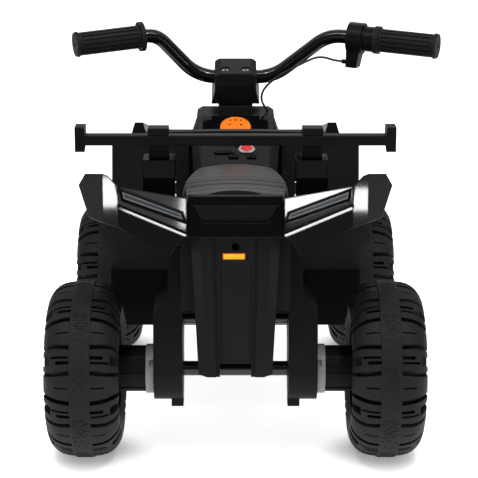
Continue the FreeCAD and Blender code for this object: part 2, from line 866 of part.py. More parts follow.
def bar_bore():
    return bar_along_x(bar_diameter / 2 + fit_gap / 2, -skirt_half - overrun, skirt_half + overrun, 0, 0)


def bolt_places():
    return [(x, -bolt_offset) for x in (-bolt_spacing / 2, bolt_spacing / 2)]


def clamp_body():
    body = clamp_blank(-clamp_down, -clamp_split / 2)
    level = -clamp_down
    near, far = -clamp_depth_half - clamp_shift, clamp_depth_half - clamp_shift
    skirt = loft([[V(-clamp_half, near, level), V(clamp_half, near, level), V(clamp_half, far, level),
                   V(-clamp_half, far, level)],
                  [V(-skirt_half, -skirt_depth_half, -skirt_down),
                   V(skirt_half, -skirt_depth_half, -skirt_down),
                   V(skirt_half, skirt_depth_half, -skirt_down), V(-skirt_half, skirt_depth_half,
                                                                   -skirt_down)]])
    stem = Part.makeCylinder(stem_diameter / 2 + running_gap, skirt_down + overrun,
                             V(0, 0, -skirt_down - overrun))
    holes = [Part.makeCylinder(bolt_diameter / 2 + running_gap, bolt_reach,
                               V(x, y, clamp_up - pocket_depth - bolt_reach))
             for x, y in bolt_places()]
    stop = Part.makeCylinder(stem_diameter / 2 + overrun, stem_top_drop, V(0, 0, -stem_top_drop))
    return steered(body.fuse(skirt).cut([stem.cut(stop), bar_bore(), *holes]).removeSplitter())


def clamp_cap():
    half, shoulder = clamp_half, clamp_up - cap_bevel / 2
    outline = [(-half, 0), (half, 0), (half, shoulder), (half - cap_bevel, clamp_up),
               (cap_bevel - half, clamp_up), (-half, shoulder)]
    cap = clamp_blank(clamp_split / 2, clamp_up).common(prism_y(outline, -2 * half, 2 * half))
    cap = cap.makeFillet(clamp_edge / 2,
                         [edge for edge in cap.Edges if edge.CenterOfMass.z > clamp_up - fit_gap])
    holes = [Part.makeCylinder(bolt_diameter / 2 + running_gap, clamp_up + overrun, V(x, y, 0))
             for x, y in bolt_places()]
    pockets = [Part.makeCylinder(pocket_diameter / 2, pocket_depth + overrun,
                                 V(x, y, clamp_up - pocket_depth))
               for x, y in bolt_places()]
    return steered(cap.cut([bar_bore(), *holes, *pockets]).removeSplitter())


def clamp_bolts():
    bolts = []
    for x, y in bolt_places():
        seat = clamp_up - pocket_depth
        shank = Part.makeCylinder(bolt_diameter / 2, bolt_reach - face_gap,
                                  V(x, y, seat - bolt_reach + face_gap))
        head = Part.makeCylinder(bolt_head_diameter / 2, bolt_head_height, V(x, y, seat))
        socket = Part.makeCylinder(bolt_socket_diameter / 2, bolt_socket_depth + overrun,
                                   V(x, y, seat + bolt_head_height - bolt_socket_depth))
        bolts.append(steered(shank.fuse(head).cut(socket)))
    return Part.makeCompound(bolts)


# Grips: built along +X from the inner end, then laid on the tube's end
def on_bar(shape, side, inset):
    points = bar_points()
    end, top = (points[-1], points[-2]) if side > 0 else (points[0], points[1])
    out = (end - top).normalize()
    across = Z_AXIS.cross(out).normalize()
    up = out.cross(across)
    place = FreeCAD.Placement(end - out * inset, FreeCAD.Rotation(out, across, up, "XYZ"))
    placed = shape.copy()
    placed.Placement = place.multiply(placed.Placement)
    return placed


def grooved(shape, radius, x0, x1):
    cutter = block(x0, x1, -groove_width / 2, groove_width / 2, radius - groove_depth, radius + overrun)
    return shape.cut([around_x(cutter, 360 * count / groove_count) for count in range(groove_count)])


def grip_blank(length, collar, collar_width, end_collar, bore):
    radius = grip_diameter / 2
    close = length - grip_end_wall
    hole = grip_hole_diameter / 2
    outline = [(0, bore), (0, collar / 2), (collar_width, collar / 2), (collar_width, radius),
               (length - end_flange_width, radius), (length - end_flange_width, end_collar / 2),
               (length, end_collar / 2 - end_flange_width / 4), (length, hole), (close, hole), (close, bore)]
    blank = Part.Face(wire([V(x, 0, r) for x, r in outline])).revolve(ORIGIN, X_AXIS, 360)
    return grooved(blank, radius, collar_width + groove_margin / 2,
                   length - end_flange_width - groove_margin / 2)


def left_grip():
    grip = grip_blank(left_grip_length, flange_diameter, flange_width, end_flange_diameter,
                      bar_diameter / 2 + running_gap)
    return on_bar(grip, -1, left_grip_length - grip_end_wall - face_gap)


def throttle_grip():
    grip = grip_blank(twist_length, twist_collar_diameter, twist_collar_width, end_flange_diameter,
                      bar_diameter / 2 + running_gap)
    return on_bar(grip, 1, twist_length - grip_end_wall - face_gap)


def housing_inset():
    return twist_length - grip_end_wall - face_gap + housing_grip_gap + housing_length + housing_collar_length


def throttle_housing():
    ring = bar_along_x(housing_radius, 0, housing_length, 0, 0)
    neck = housing_depth / 2
    low = housing_depth / 2 * housing_neck_share
    drop = loft([[V(0, -neck, 0), V(housing_length, -neck, 0), V(housing_length, neck, 0), V(0, neck, 0)],
                 [V(0, -low, -housing_drop), V(housing_length * housing_neck_share, -low, -housing_drop),
                  V(housing_length * housing_neck_share, low, -housing_drop), V(0, low, -housing_drop)]])
    nub = bar_along_x(nub_diameter / 2, -nub_length, housing_length / 2, 0, nub_diameter - housing_drop)
    end = housing_length + housing_collar_length
    collar = bar_along_x(housing_collar_radius, 0, end, 0, 0)
    shape = ring.fuse([drop, nub, collar])
    shape = shape.cut(bar_along_x(bar_diameter / 2 + running_gap, -overrun, end + overrun, 0, 0))
    return on_bar(shape.removeSplitter(), 1, housing_inset())


def cable_exit():
    reach = -nub_length - fit_gap
    level = nub_diameter - housing_drop
    ends = [on_bar(Part.Vertex(x, 0, level), 1, housing_inset()) for x in (reach, reach - cable_straight)]
    return [end.Point for end in ends]


def throttle_cable():
    points = cable_exit() + [V(*place) for place in cable_route]
    radii = []
    for before, corner, after in zip(points, points[1:], points[2:]):
        turn = (corner - before).getAngle(after - corner)
        run = min((corner - before).Length, (after - corner).Length)
        radii.append(route_arc_share * run / math.tan(turn / 2))
    path = smooth_path(points, radii)
    shape = swept(path, cable_diameter / 2)
    print("cable radii", [round(radius, 1) for radius in radii])
    print("cable length", round(path.Length, 1), "volume", round(shape.Volume, 1), "of",
          round(math.pi * (cable_diameter / 2) ** 2 * path.Length, 1))
    return shape


# Tank cover, dash and cowl
def tank_section(y, half, top_half, shoulder_z, top_z, wall):
    low_half = tunnel_half - wall
    low_z = tunnel_top_z - wall
    return [V(-low_half, y, low_z), V(low_half, y, low_z), V(half - wall, y, shoulder_z),
            V(top_half - wall / 2, y, top_z - wall), V(wall / 2 - top_half, y, top_z - wall),
            V(wall - half, y, shoulder_z)]


def tank_blank(wall):
    ratio = tank_top_half / tank_half
    rear_y, front_y = tank_rear_y + wall, tank_front_y - wall
    rear = tank_section(rear_y, tank_rear_half, tank_rear_half * ratio, tank_rear_shoulder_z,
                        tank_rear_top_z + slope_rise(wall), wall)
    middle = tank_section(tank_mid_y, tank_half, tank_top_half, tank_mid_shoulder_z, tank_mid_top_z, wall)
    front_top = tank_mid_top_z + slope_rise(front_y - tank_mid_y)
    front = tank_section(front_y, tank_half, tank_top_half, tank_mid_shoulder_z, front_top, wall)
    return loft([rear, middle, front])


def slope_rise(run):
    return run * (tank_mid_top_z - tank_rear_top_z) / (tank_mid_y - tank_rear_y)


dash_angle = math.degrees(math.atan2(tank_mid_top_z - tank_rear_top_z, tank_mid_y - tank_rear_y))
dash_run = math.hypot(tank_mid_top_z - tank_rear_top_z, tank_mid_y - tank_rear_y)
dash_length = dash_run * (tank_front_y - tank_rear_y) / (tank_mid_y - tank_rear_y)
dash_place = FreeCAD.Placement(V(0, tank_rear_y, tank_rear_top_z), FreeCAD.Rotation(X_AXIS, dash_angle))


def on_dash(shape):
    placed = shape.copy()
    placed.Placement = dash_place.multiply(placed.Placement)
    return placed


def dash_blank(gap):
    y0, y1 = dash_length * dash_start_share - gap, dash_length * dash_end_share + gap
    plate = block(-dash_half - gap, dash_half + gap, y0, y1, -dash_thickness, 0)
    return rounded(plate, Z_AXIS, dash_corner)


def dash_holes():
    x, y = button_x, dash_length * button_share
    holes = [Part.makeCylinder(bezel_diameter / 2 - bezel_rise / 2, bezel_depth + 2 * overrun,
                               V(x, y, -bezel_depth - overrun))]
    y = dash_length * rocker_share
    for x in rocker_xs:
        holes.append(block(x - rocker_width / 2 - rocker_gap, x + rocker_width / 2 + rocker_gap,
                           y - rocker_length / 2 - rocker_gap, y + rocker_length / 2 + rocker_gap,
                           -rocker_depth - overrun, overrun))
    return holes


def tank_cover():
    shell = tank_blank(0).cut(tank_blank(tank_wall))
    return shell.cut([on_dash(dash_blank(0)), *[on_dash(hole) for hole in dash_holes()]]).removeSplitter()


def dash_panel():
    pins = []
    y = dash_length * rocker_share
    for x in rocker_xs:
        pins.append(bar_along_x(rocker_pin_diameter / 2, x - rocker_width / 2 - rocker_gap - overrun / 2,
                                x + rocker_width / 2 + rocker_gap + overrun / 2, y, -dash_thickness / 2))
    plate = dash_blank(-fit_gap).cut(dash_holes())
    return on_dash(plate.fuse(pins).removeSplitter())


def media_panel():
    y = dash_length * media_share
    plate = block(media_x - media_width / 2, media_x + media_width / 2, y - media_length / 2,
                  y + media_length / 2, 0,
                  media_rise)
    plate = rounded(plate, Z_AXIS, media_corner)
    window_y = y + media_length / 2 - media_window_length / 2 - media_corner
    window = block(media_x - media_window_width / 2, media_x + media_window_width / 2,
                   window_y - media_window_length / 2, window_y + media_window_length / 2,
                   media_rise - media_window_depth, media_rise + overrun)
    keys = []
    step = media_window_width / media_key_count
    for count in range(media_key_count):
        x = media_x - media_window_width / 2 + step * (2 * count + 1) / 2
        key_y = y - media_length / 4
        keys.append(block(x - media_key_size / 2, x + media_key_size / 2, key_y - media_key_size / 2,
                          key_y + media_key_size / 2, media_rise / 2, media_rise + media_key_rise))
    return on_dash(plate.cut(window).fuse(keys).removeSplitter())


def button_bezel():
    x, y = button_x, dash_length * button_share
    outer = bezel_diameter / 2
    neck = outer - bezel_rise / 2 - fit_gap
    bore = bezel_bore_diameter / 2
    outline = [(bore, -bezel_depth), (neck, -bezel_depth), (neck, 0), (outer, 0), (outer, bezel_rise / 2),
               (outer - bezel_rise / 2, bezel_rise), (bore, bezel_rise)]
    ring = Part.Face(wire([V(r, 0, z) for r, z in outline])).revolve(ORIGIN, Z_AXIS, 360)
    return on_dash(moved(ring, x, y, 0))


def power_button():
    x, y = button_x, dash_length * button_share
    radius = button_diameter / 2
    cap = Part.makeCylinder(radius, button_rise + bezel_depth / 2, V(x, y, -bezel_depth / 2))
    top = [edge for edge in cap.Edges if edge.CenterOfMass.z > button_rise - fit_gap]
    cap = cap.makeFillet(button_rise / 4, top)
    stem = Part.makeCylinder(button_stem_diameter / 2, bezel_depth / 2, V(x, y, -bezel_depth))
    return on_dash(cap.fuse(stem))


def rocker(x):
    y = dash_length * rocker_share
    half = rocker_length / 2
    level = -dash_thickness / 2
    outline = [(y - half, level), (y - half, rocker_rise), (y, rocker_rise / 2), (y + half, rocker_rise),
               (y + half, level), (y, -rocker_depth)]
    body = prism_x(outline, x - rocker_width / 2, x + rocker_width / 2)
    bore = bar_along_x(rocker_pin_diameter / 2 + running_gap, x - rocker_width, x + rocker_width, y, level)
    return on_dash(body.cut(bore))


def sound_pad():
    radius = pad_diameter / 2
    sink = pad_diameter * math.sin(math.radians(pad_tilt))
    pad = Part.makeCylinder(radius, pad_rise + sink, V(0, 0, -sink))
    top = [edge for edge in pad.Edges if edge.CenterOfMass.z > pad_rise - fit_gap]
    pad = pad.makeFillet(pad_edge, top)
    pad.rotate(V(0, -radius, 0), X_AXIS, pad_tilt)
    pad = moved(pad, 0, dash_length * pad_share, 0)
    reach = dash_length * 2
    return on_dash(pad.cut(block(-reach, reach, -reach, reach, -reach, 0)))


def steering_cowl():
    y0, y1 = tank_front_y, cowl_front_y
    ridge_y, ridge_z = cowl_ridge_y, cowl_ridge_z
    outline = [(y0, cowl_bottom_z), (y0, cowl_rear_z), (ridge_y, ridge_z), (y1, ridge_z - cowl_fall),
               (y1, cowl_bottom_z)]
    low, top = cowl_half, cowl_top_half
    silhouette = [(-low, cowl_bottom_z), (low, cowl_bottom_z), (low, cowl_rear_z), (top, ridge_z),
                  (-top, ridge_z),
                  (-low, cowl_rear_z)]
    shoulders = prism_x(outline, -low, low).common(prism_y(silhouette, y0, y1))
    reach = 2 * cowl_half
    level = -skirt_down - cowl_gap
    neck = block(-cowl_neck_half, cowl_neck_half, y0, y1, cowl_rear_z - overrun, clamp_z)
    neck = neck.cut(steered(block(-reach, reach, -reach, reach, level, level + 2 * reach)))
    inner = block(cowl_wall - low, low - cowl_wall, y0 + cowl_wall, y1 - cowl_wall, cowl_bottom_z - overrun,
                  ridge_z - cowl_fall - cowl_wall)
    foot = -upper_bush_drop - bush_length
    boss = Part.makeCylinder(stem_diameter / 2 + 2 * bush_wall, level - foot, V(0, 0, foot))
    boss = steered(boss).common(block(-low, low, y0, y1, cowl_bottom_z, clamp_z))
    hole = Part.makeCylinder(stem_diameter / 2 + bush_wall / 2, level - foot + overrun, V(0, 0, foot))
    shell = shoulders.fuse(neck).cut(inner).fuse(boss)
    return shell.cut([bush_seat(upper_bush_drop), steered(hole), cable_passage()]).removeSplitter()


def cable_passage():
    before, end = V(*cable_route[-2]), V(*cable_route[-1])
    along = (end - before).normalize()
    return rod(cable_diameter / 2 + soft_gap, before - along * cable_diameter, end + along * cable_diameter)


# Seat, seat base, tail box and tail cover
def seat_half(share):
    if share < seat_wide_share:
        lean = math.sin(math.pi / 2 * share / seat_wide_share)
        return seat_rear_half + (seat_wide_half - seat_rear_half) * lean
    lean = (share - seat_wide_share) / (1 - seat_wide_share)
    return seat_wide_half + (seat_front_half - seat_wide_half) * lean ** seat_taper_power


def seat_top(share):
    rear, middle, front = seat_rear_top_z, seat_mid_top_z, seat_front_top_z
    return rear + (front - rear) * share + (middle - (rear + front) / 2) * math.sin(math.pi * share)


def seat_section(share, dip):
    y = seat_rear_y + (seat_front_y - seat_rear_y) * share
    half = seat_half(share)
    foot = half - seat_draw_in
    top = seat_top(share) - dip
    side = top - seat_crown
    shoulder = half - seat_draw_in
    low = seat_bottom_z
    bulge = low + (side - low) / 2
    edges = [Part.LineSegment(V(-foot, y, low), V(foot, y, low)).toShape(),
             Part.Arc(V(foot, y, low), V(half, y, bulge), V(shoulder, y, side)).toShape(),
             Part.Arc(V(shoulder, y, side), V(0, y, top), V(-shoulder, y, side)).toShape(),
             Part.Arc(V(-shoulder, y, side), V(-half, y, bulge), V(-foot, y, low)).toShape()]
    return Part.Wire(edges)


def seat():
    stations = [(0.0, seat_crown), (seat_roll_share / 3, seat_crown / 2), (seat_roll_share, 0)]
    step = (1 - 2 * seat_start_share) / seat_channel_count
    for count in range(seat_channel_count):
        start = seat_start_share + step * count
        stations += [(start + step * share, seat_channel_depth * dip) for share, dip in channel_shares]
    stations += [(1 - seat_roll_share, 0), (1 - seat_roll_share / 3, seat_crown / 2), (1.0, seat_crown)]
    cushion = Part.makeLoft([seat_section(share, dip) for share, dip in stations], True, True)
    radius = (seat_scoop_half ** 2 / seat_scoop_depth + seat_scoop_depth) / 2
    scoop = Part.makeCylinder(radius, 2 * seat_rear_top_z, V(0, seat_rear_y + seat_scoop_depth - radius, 0))
    return cushion.cut(scoop)


def seat_base():
    y0, y1 = cover_rear_y + cover_depth + face_gap, seat_front_y - base_inset
    outline = [(-base_half, y0), (base_half, y0), (base_half, well_rear_y), (base_front_half, y1),
               (-base_front_half, y1), (-base_half, well_rear_y)]
    return rounded(prism_z(outline, box_top_z, seat_bottom_z), Z_AXIS, base_inset)


def tail_box():
    y0, y1 = tail_rear_y, tail_front_y
    blank = prism_x([(y0, tail_low_z), (y0 + tail_lean, tail_top_z), (y1, tail_top_z), (y1, tail_low_z)],
                    -tail_half, tail_half)
    height = tail_top_z - tail_low_z
    outline = spread(recess_shares, 0, tail_half, tail_low_z, height)
    deep = y0 + tail_lean * recess_lean_share + recess_depth
    recess = prism_y(outline, y0 - overrun, deep)
    slot_z = tail_low_z + height * slot_z_share
    slot = block(-tail_half * slot_half_share, tail_half * slot_half_share, y0 - overrun,
                 y0 + slot_cut_depth, slot_z, slot_z + slot_height)
    return blank.cut([recess, slot]).removeSplitter()


def cover_section(z, half):
    y0, y1 = cover_rear_y, cover_rear_y + cover_depth
    scale = half / cover_top_half
    wall = cover_wall
    groove_in, groove_out = cover_groove_half * scale, (cover_groove_half + cover_groove_width) * scale
    flat = half - cover_round
    floor = y0 + cover_groove_depth
    outer = [(-half, y1), (-half, y0 + cover_round), (-flat, y0), (-groove_out, y0), (-groove_out, floor),
             (-groove_in, floor), (-groove_in, y0), (groove_in, y0), (groove_in, floor), (groove_out, floor),
             (groove_out, y0), (flat, y0), (half, y0 + cover_round), (half, y1)]
    inner = [(half - wall, y1), (half - wall, y0 + cover_round), (flat, y0 + wall + cover_groove_depth),
             (-flat, y0 + wall + cover_groove_depth), (wall - half, y0 + cover_round), (wall - half, y1)]
    return [V(x, y, z) for x, y in outer + inner]


def tail_cover():
    shell = loft([cover_section(cover_low_z, cover_low_half), cover_section(tail_low_z, cover_top_half)])
    notch = block(-cover_notch_half, cover_notch_half, cover_rear_y - overrun,
                  cover_rear_y + cover_depth + overrun,
                  cover_low_z - overrun, cover_low_z + cover_notch_height)
    low_z = cover_low_z + cover_notch_height
    y0, y1 = cover_rear_y - strip_rise, cover_rear_y + cover_wall / 2
    taper = strip_half - strip_taper
    strip = loft([[V(-taper, y0, low_z), V(taper, y0, low_z), V(strip_half, y1, low_z),
                   V(-strip_half, y1, low_z)],
                  [V(-taper, y0, strip_top_z), V(taper, y0, strip_top_z), V(strip_half, y1, strip_top_z),
                   V(-strip_half, y1, strip_top_z)]])
    hole = Part.makeCylinder(cover_hole_diameter / 2, cover_depth + 2 * overrun,
                             V(0, cover_rear_y - overrun, socket_z), Y_AXIS)
    return shell.cut(notch).fuse(strip).cut(hole).removeSplitter()


def charge_socket():
    y0 = cover_rear_y + cover_wall + cover_groove_depth
    body = Part.makeCylinder(socket_diameter / 2, socket_depth, V(0, y0, socket_z), Y_AXIS)
    bore = Part.makeCylinder(socket_bore_diameter / 2, socket_depth - socket_floor + overrun,
                             V(0, y0 - overrun, socket_z), Y_AXIS)
    return body.cut(bore)


# Rear fenders and rack
def fender_blank():
    x0, z0, y0 = fender_inner_x, fender_low_z, fender_rear_y
    outline = spread(fender_rear_shares, x0, fender_width, z0, fender_height)
    fall = fender_length * math.tan(math.radians(fender_fall))
    rear = Part.Face(wire([V(x, y0, z) for x, z in outline])).extrude(V(0, fender_length, -fall))
    plan = prism_z(spread(fender_plan_shares, x0, fender_width, y0, fender_length), z0,
                   z0 + 2 * fender_height)
    return rear.common(plan)


def fender_face_y(share):
    for (a0, b0), (a1, b1) in zip(fender_plan_shares, fender_plan_shares[1:]):
        if share <= a1:
            return fender_rear_y + fender_length * (b0 + (b1 - b0) * (share - a0) / (a1 - a0))


def fender_groove():
    sections = []
    for across, up in groove_shares:
        x = fender_inner_x + across * fender_width
        y = fender_face_y(across)
        z = fender_low_z + up * fender_height
        upper = V(x, y - groove_cut, z + groove_rise)
        lower = V(x, y - groove_cut, z - 2 * groove_fall)
        sections.append([upper, V(x, y + groove_cut, z), lower])
    return loft(sections)


def deck_line(across):
    (a0, b0), (a1, b1) = groove_shares[1:3]
    x = fender_inner_x + across * fender_width
    y = fender_rear_y + across / fender_plan_shares[1][0] * fender_plan_shares[1][1] * fender_length
    z = fender_low_z + (b0 + (b1 - b0) * (across - a0) / (a1 - a0)) * fender_height
    return x, y, z


def deck_slope():
    sections = []
    for across in (groove_shares[0][0], fender_plan_shares[1][0]):
        x, y, z = deck_line(across)
        top = z + fender_height
        sections.append([V(x, y, z), V(x, y + deck_lean_share * fender_height, top),
                         V(x, y - fender_wall, top), V(x, y - fender_wall, z)])
    return loft(sections)


def grown_outline(points, grow):
    around = zip(points[-1:] + points[:-1], points, points[1:] + points[:1])
    turning = sum(a[0] * b[1] - b[0] * a[1] for a, b in zip(points, points[1:] + points[:1]))
    side = math.copysign(1, turning)
    grown = []
    for before, here, after in around:
        normals = []
        for start, end in ((before, here), (here, after)):
            run = math.hypot(end[0] - start[0], end[1] - start[1])
            normals.append((side * (end[1] - start[1]) / run, side * (start[0] - end[0]) / run))
        (ax, az), (bx, bz) = normals
        reach = grow / (1 + ax * bx + az * bz)
        grown.append((here[0] + (ax + bx) * reach, here[1] + (az + bz) * reach))
    return grown


def lamp_section(set_back, grow):
    points = []
    for across, up in lamp_shares:
        x = fender_inner_x + across * fender_width
        points.append((x, fender_low_z + up * fender_height))
    grown = grown_outline(points, grow)
    section = []
    for x, z in grown:
        _, y, low = deck_line((x - fender_inner_x) / fender_width)
        section.append(V(x, y + deck_lean_share * (z - low) + set_back, z))
    return section


def tail_lamp():
    return loft([lamp_section(lamp_inset, -fit_gap), lamp_section(lamp_depth, -fit_gap)])


def rack_post_box(gap):
    y0 = rack_y + rack_bar_depth / 2 + post_front_gap
    return (post_x - post_width / 2 - gap, post_x + post_width / 2 + gap, y0 - gap, y0 + post_depth + gap)


def rear_fender():
    blank = fender_blank()
    inner = hollow_core(blank)
    x0, x1, y0, y1 = rack_post_box(sleeve_wall)
    deck = blank.common(block(x0, x1, y0, y1, fender_low_z, sleeve_top_z))
    sleeve = block(x0, x1, y0, y1, deck.BoundBox.ZMax - post_depth, sleeve_top_z)
    shell = blank.cut(inner).fuse(sleeve)
    x0, x1, y0, y1 = rack_post_box(fit_gap)
    pocket = block(x0, x1, y0, y1, sleeve_floor_z, sleeve_top_z + overrun)
    room = block(fender_inner_x - overrun, box_half, tail_front_y, fender_rear_y + fender_length + overrun,
                 fender_low_z - overrun, fender_low_z + fender_height + overrun)
    lamp = loft([lamp_section(-lamp_inset, 2 * lamp_frame), lamp_section(lamp_inset, 0),
                 lamp_section(lamp_depth, 0)])
    return shell.cut([pocket, room, lamp, deck_slope(), fender_groove()]).removeSplitter()


def hollow_core(blank):
    wall = fender_wall
    x0, z0, y0 = fender_inner_x, fender_low_z, fender_rear_y
    core = moved(blank, 0, lamp_depth + wall, -wall)
    core = core.fuse(moved(core, 0, 0, -fender_height))
    keep = block(box_half + wall, x0 + fender_width, y0 - overrun, y0 + 2 * fender_length,
                 z0 - 2 * fender_height,
                 z0 + 2 * fender_height)
    side = moved(blank, -wall, lamp_depth + wall, -wall)
    side = side.fuse(moved(side, 0, 0, -fender_height))
    return core.common(keep).common(side)


def rear_rack():
    y0, y1 = rack_y - rack_bar_depth / 2, rack_y + rack_bar_depth / 2
    z0, z1 = rack_z - rack_bar_height / 2, rack_z + rack_bar_height / 2
    bar = rounded(block(-rack_half, rack_half, y0, y1, z0, z1), X_AXIS, rack_bar_edge)
    pieces = []
    for side in (-1, 1):
        x0, x1 = sorted((side * (rack_half - rack_end_width), side * rack_half))
        outline = [(y0, rack_end_low_z), (y0 + rack_end_depth, rack_end_low_z + rack_end_width),
                   (y0 + rack_end_depth, rack_end_high_z), (y0, rack_end_high_z)]
        pieces.append(rounded(prism_x(outline, x0, x1), X_AXIS, rack_bar_edge))
    return bar.fuse(pieces).removeSplitter()


def rack_post():
    x0, x1, y0, y1 = rack_post_box(0)
    bar_top = rack_z + rack_bar_height / 2
    top = bar_top + cap_height
    back = rack_y - rack_bar_depth / 2
    outline = [(back, bar_top), (back, top), (y0 + cap_overlap, top), (y1, top - cap_slope_drop),
               (y1, sleeve_floor_z),
               (y0, sleeve_floor_z), (y0, bar_top)]
    return rounded(prism_x(outline, x0, x1), X_AXIS, rack_bar_edge / 2)


def rack_posts():
    return Part.makeCompound([rack_post(), mirrored(rack_post())])


def rack_cross_bar():
    x0, x1, y0, y1 = rack_post_box(0)
    z0, z1 = rack_z - cross_bar_height / 2, rack_z + cross_bar_height / 2
    y = (y0 + y1) / 2
    half = cross_bar_depth / 2
    ends = []
    for offset in (-half, half):
        ends.append((V(-x0, y + offset, z0), V(0, y + offset + cross_bar_bow, z0), V(x0, y + offset, z0)))
    near, far = ends
    edges = [Part.Arc(*near).toShape(), Part.LineSegment(near[2], far[2]).toShape(),
             Part.Arc(*reversed(far)).toShape(), Part.LineSegment(far[0], near[0]).toShape()]
    return Part.Face(Part.Wire(edges)).extrude(V(0, 0, z1 - z0))


# Front body, headlamps, front rack and bumper
def front_blank():
    y0, y1, y2 = front_rear_y, front_crest_y, front_end_y
    side = prism_x([(y0, front_low_z), (y1, front_crest_z), (y2, front_nose_top_z), (y2, front_low_z)],
                   -front_half,
                   front_half)
    bend_y = y1 + (y2 - y1) * front_bend_share
    plan = prism_z([(-front_half, y0), (front_half, y0), (front_half, bend_y), (front_nose_half, y2),
                    (-front_nose_half, y2), (-front_half, bend_y)], front_low_z, front_crest_z)
    low, high = front_low_z, front_crest_z
    shoulder = front_half * front_shoulder_share
    rear = prism_y([(-front_half, low), (front_half, low), (front_half, high - front_shoulder_drop),
                    (shoulder, high),
                    (-shoulder, high), (-front_half, high - front_shoulder_drop)], y0, y2)
    return side.common(plan).common(rear)


def headlamp_blank(front, depth, grow):
    y = front_end_y
    height = front_nose_top_z - front_low_z
    points = spread(headlamp_shares, 0, front_nose_half, front_low_z, height)
    return prism_y(grown_outline(points, grow), y + front, y + front - depth)


def headlamp():
    return headlamp_blank(-headlamp_inset, headlamp_depth - headlamp_inset, -fit_gap)


def front_body():
    blank = front_blank()
    shell = hollowed(blank, front_wall, lambda normal: normal.z < down_facing_share)
    notch = block(-notch_half, notch_half, front_rear_y - overrun, cowl_front_y, front_low_z - overrun,
                  front_crest_z + overrun)
    pocket = headlamp_blank(overrun, headlamp_depth + overrun, 0)
    seats = headlamp_blank(0, headlamp_depth + front_wall, front_wall).common(blank)
    shell = shell.fuse([seats, mirrored(seats)])
    return shell.cut([notch, pocket, mirrored(pocket)]).removeSplitter()


def front_rack():
    slope = math.degrees(math.atan2(front_crest_z - front_nose_top_z, front_end_y - front_crest_y))
    length = (front_end_y - front_crest_y) * rail_length_share
    place = FreeCAD.Placement(V(0, front_crest_y, front_crest_z), FreeCAD.Rotation(X_AXIS, -slope))
    half, top = rail_width / 2, rail_top_width / 2
    rails = [prism_y([(x - half, 0), (x + half, 0), (x + top, rail_height), (x - top, rail_height)], 0,
                     length)
             for x in (-rail_x, rail_x)]
    first = cowl_front_y - front_crest_y + rack_tie_width
    step = (length - rack_tie_width - first) / (rack_tie_count - 1)
    ties = []
    for count in range(rack_tie_count):
        y = first + count * step
        ties.append(block(-rail_x, rail_x, y, y + rack_tie_width, rail_height - 2 * rack_tie_height,
                          rail_height - rack_tie_height))
    shape = rails[0].fuse([rails[1], *ties]).removeSplitter()
    shape.Placement = place.multiply(shape.Placement)
    return shape


def front_bumper():
    tube = bumper_tube / 2
    y = bumper_y
    corners = [V(-bumper_half, y, bumper_low_z), V(-bumper_half, y, bumper_top_z - tube),
               V(bumper_half, y, bumper_top_z - tube), V(bumper_half, y, bumper_low_z)]
    hoop = swept(smooth_path(corners, [bumper_tube, bumper_tube]), tube)
    z0, z1 = bumper_low_z + bumper_plate, bumper_top_z - tube
    plate = block(-bumper_half + tube / 2, bumper_half - tube / 2, y - bumper_plate / 2,
                  y + bumper_plate / 2, z0, z1)
    step = (z1 - z0) / (bumper_slot_count + 1)
    slots = []
    for count in range(bumper_slot_count):
        z = z0 + step * (count + 1)
        slots.append(block(-bumper_half + bumper_tube, bumper_half - bumper_tube, y - bumper_plate,
                           y + bumper_plate,
                           z - bumper_slot_height / 2, z + bumper_slot_height / 2))
    arm_z = nose_bottom_z
    arms = []
    for side in (-1, 1):
        x0, x1 = sorted((side * (bumper_arm_half - bumper_plate), side * bumper_arm_half))
        arms.append(block(x0, x1, nose_front_y, y, arm_z, arm_z + bumper_arm_height))
    return hoop.fuse([plate.cut(slots), *arms]).removeSplitter()


front_hub_inner_x = kingpin_x + sleeve_radius + 2 * face_gap


def wheel_nodes():
    nodes = {}
    tread = tyre()
    rear_rim = rim(rear_hub_diameter, wheel_x - hub_inner_x, True)
    front_rim = rim(front_hub_diameter, wheel_x - front_hub_inner_x, False)
    for end, y, disc in (("rear", rear_axle_y, rear_rim), ("front", front_axle_y, front_rim)):
        for piece, shape in (("tyre", tread), ("rim", disc)):
            right = moved(shape, wheel_x, y, axle_z)
            nodes[f"{end}_right_{piece}"] = right
            nodes[f"{end}_left_{piece}"] = mirrored(right)
    right_ring = moved(drive_ring(), 0, rear_axle_y, axle_z)
    nodes["right_drive_ring"] = right_ring
    nodes["left_drive_ring"] = mirrored(right_ring)
    return nodes


def pair(name, shape):
    return {f"right_{name}": shape, f"left_{name}": mirrored(shape)}


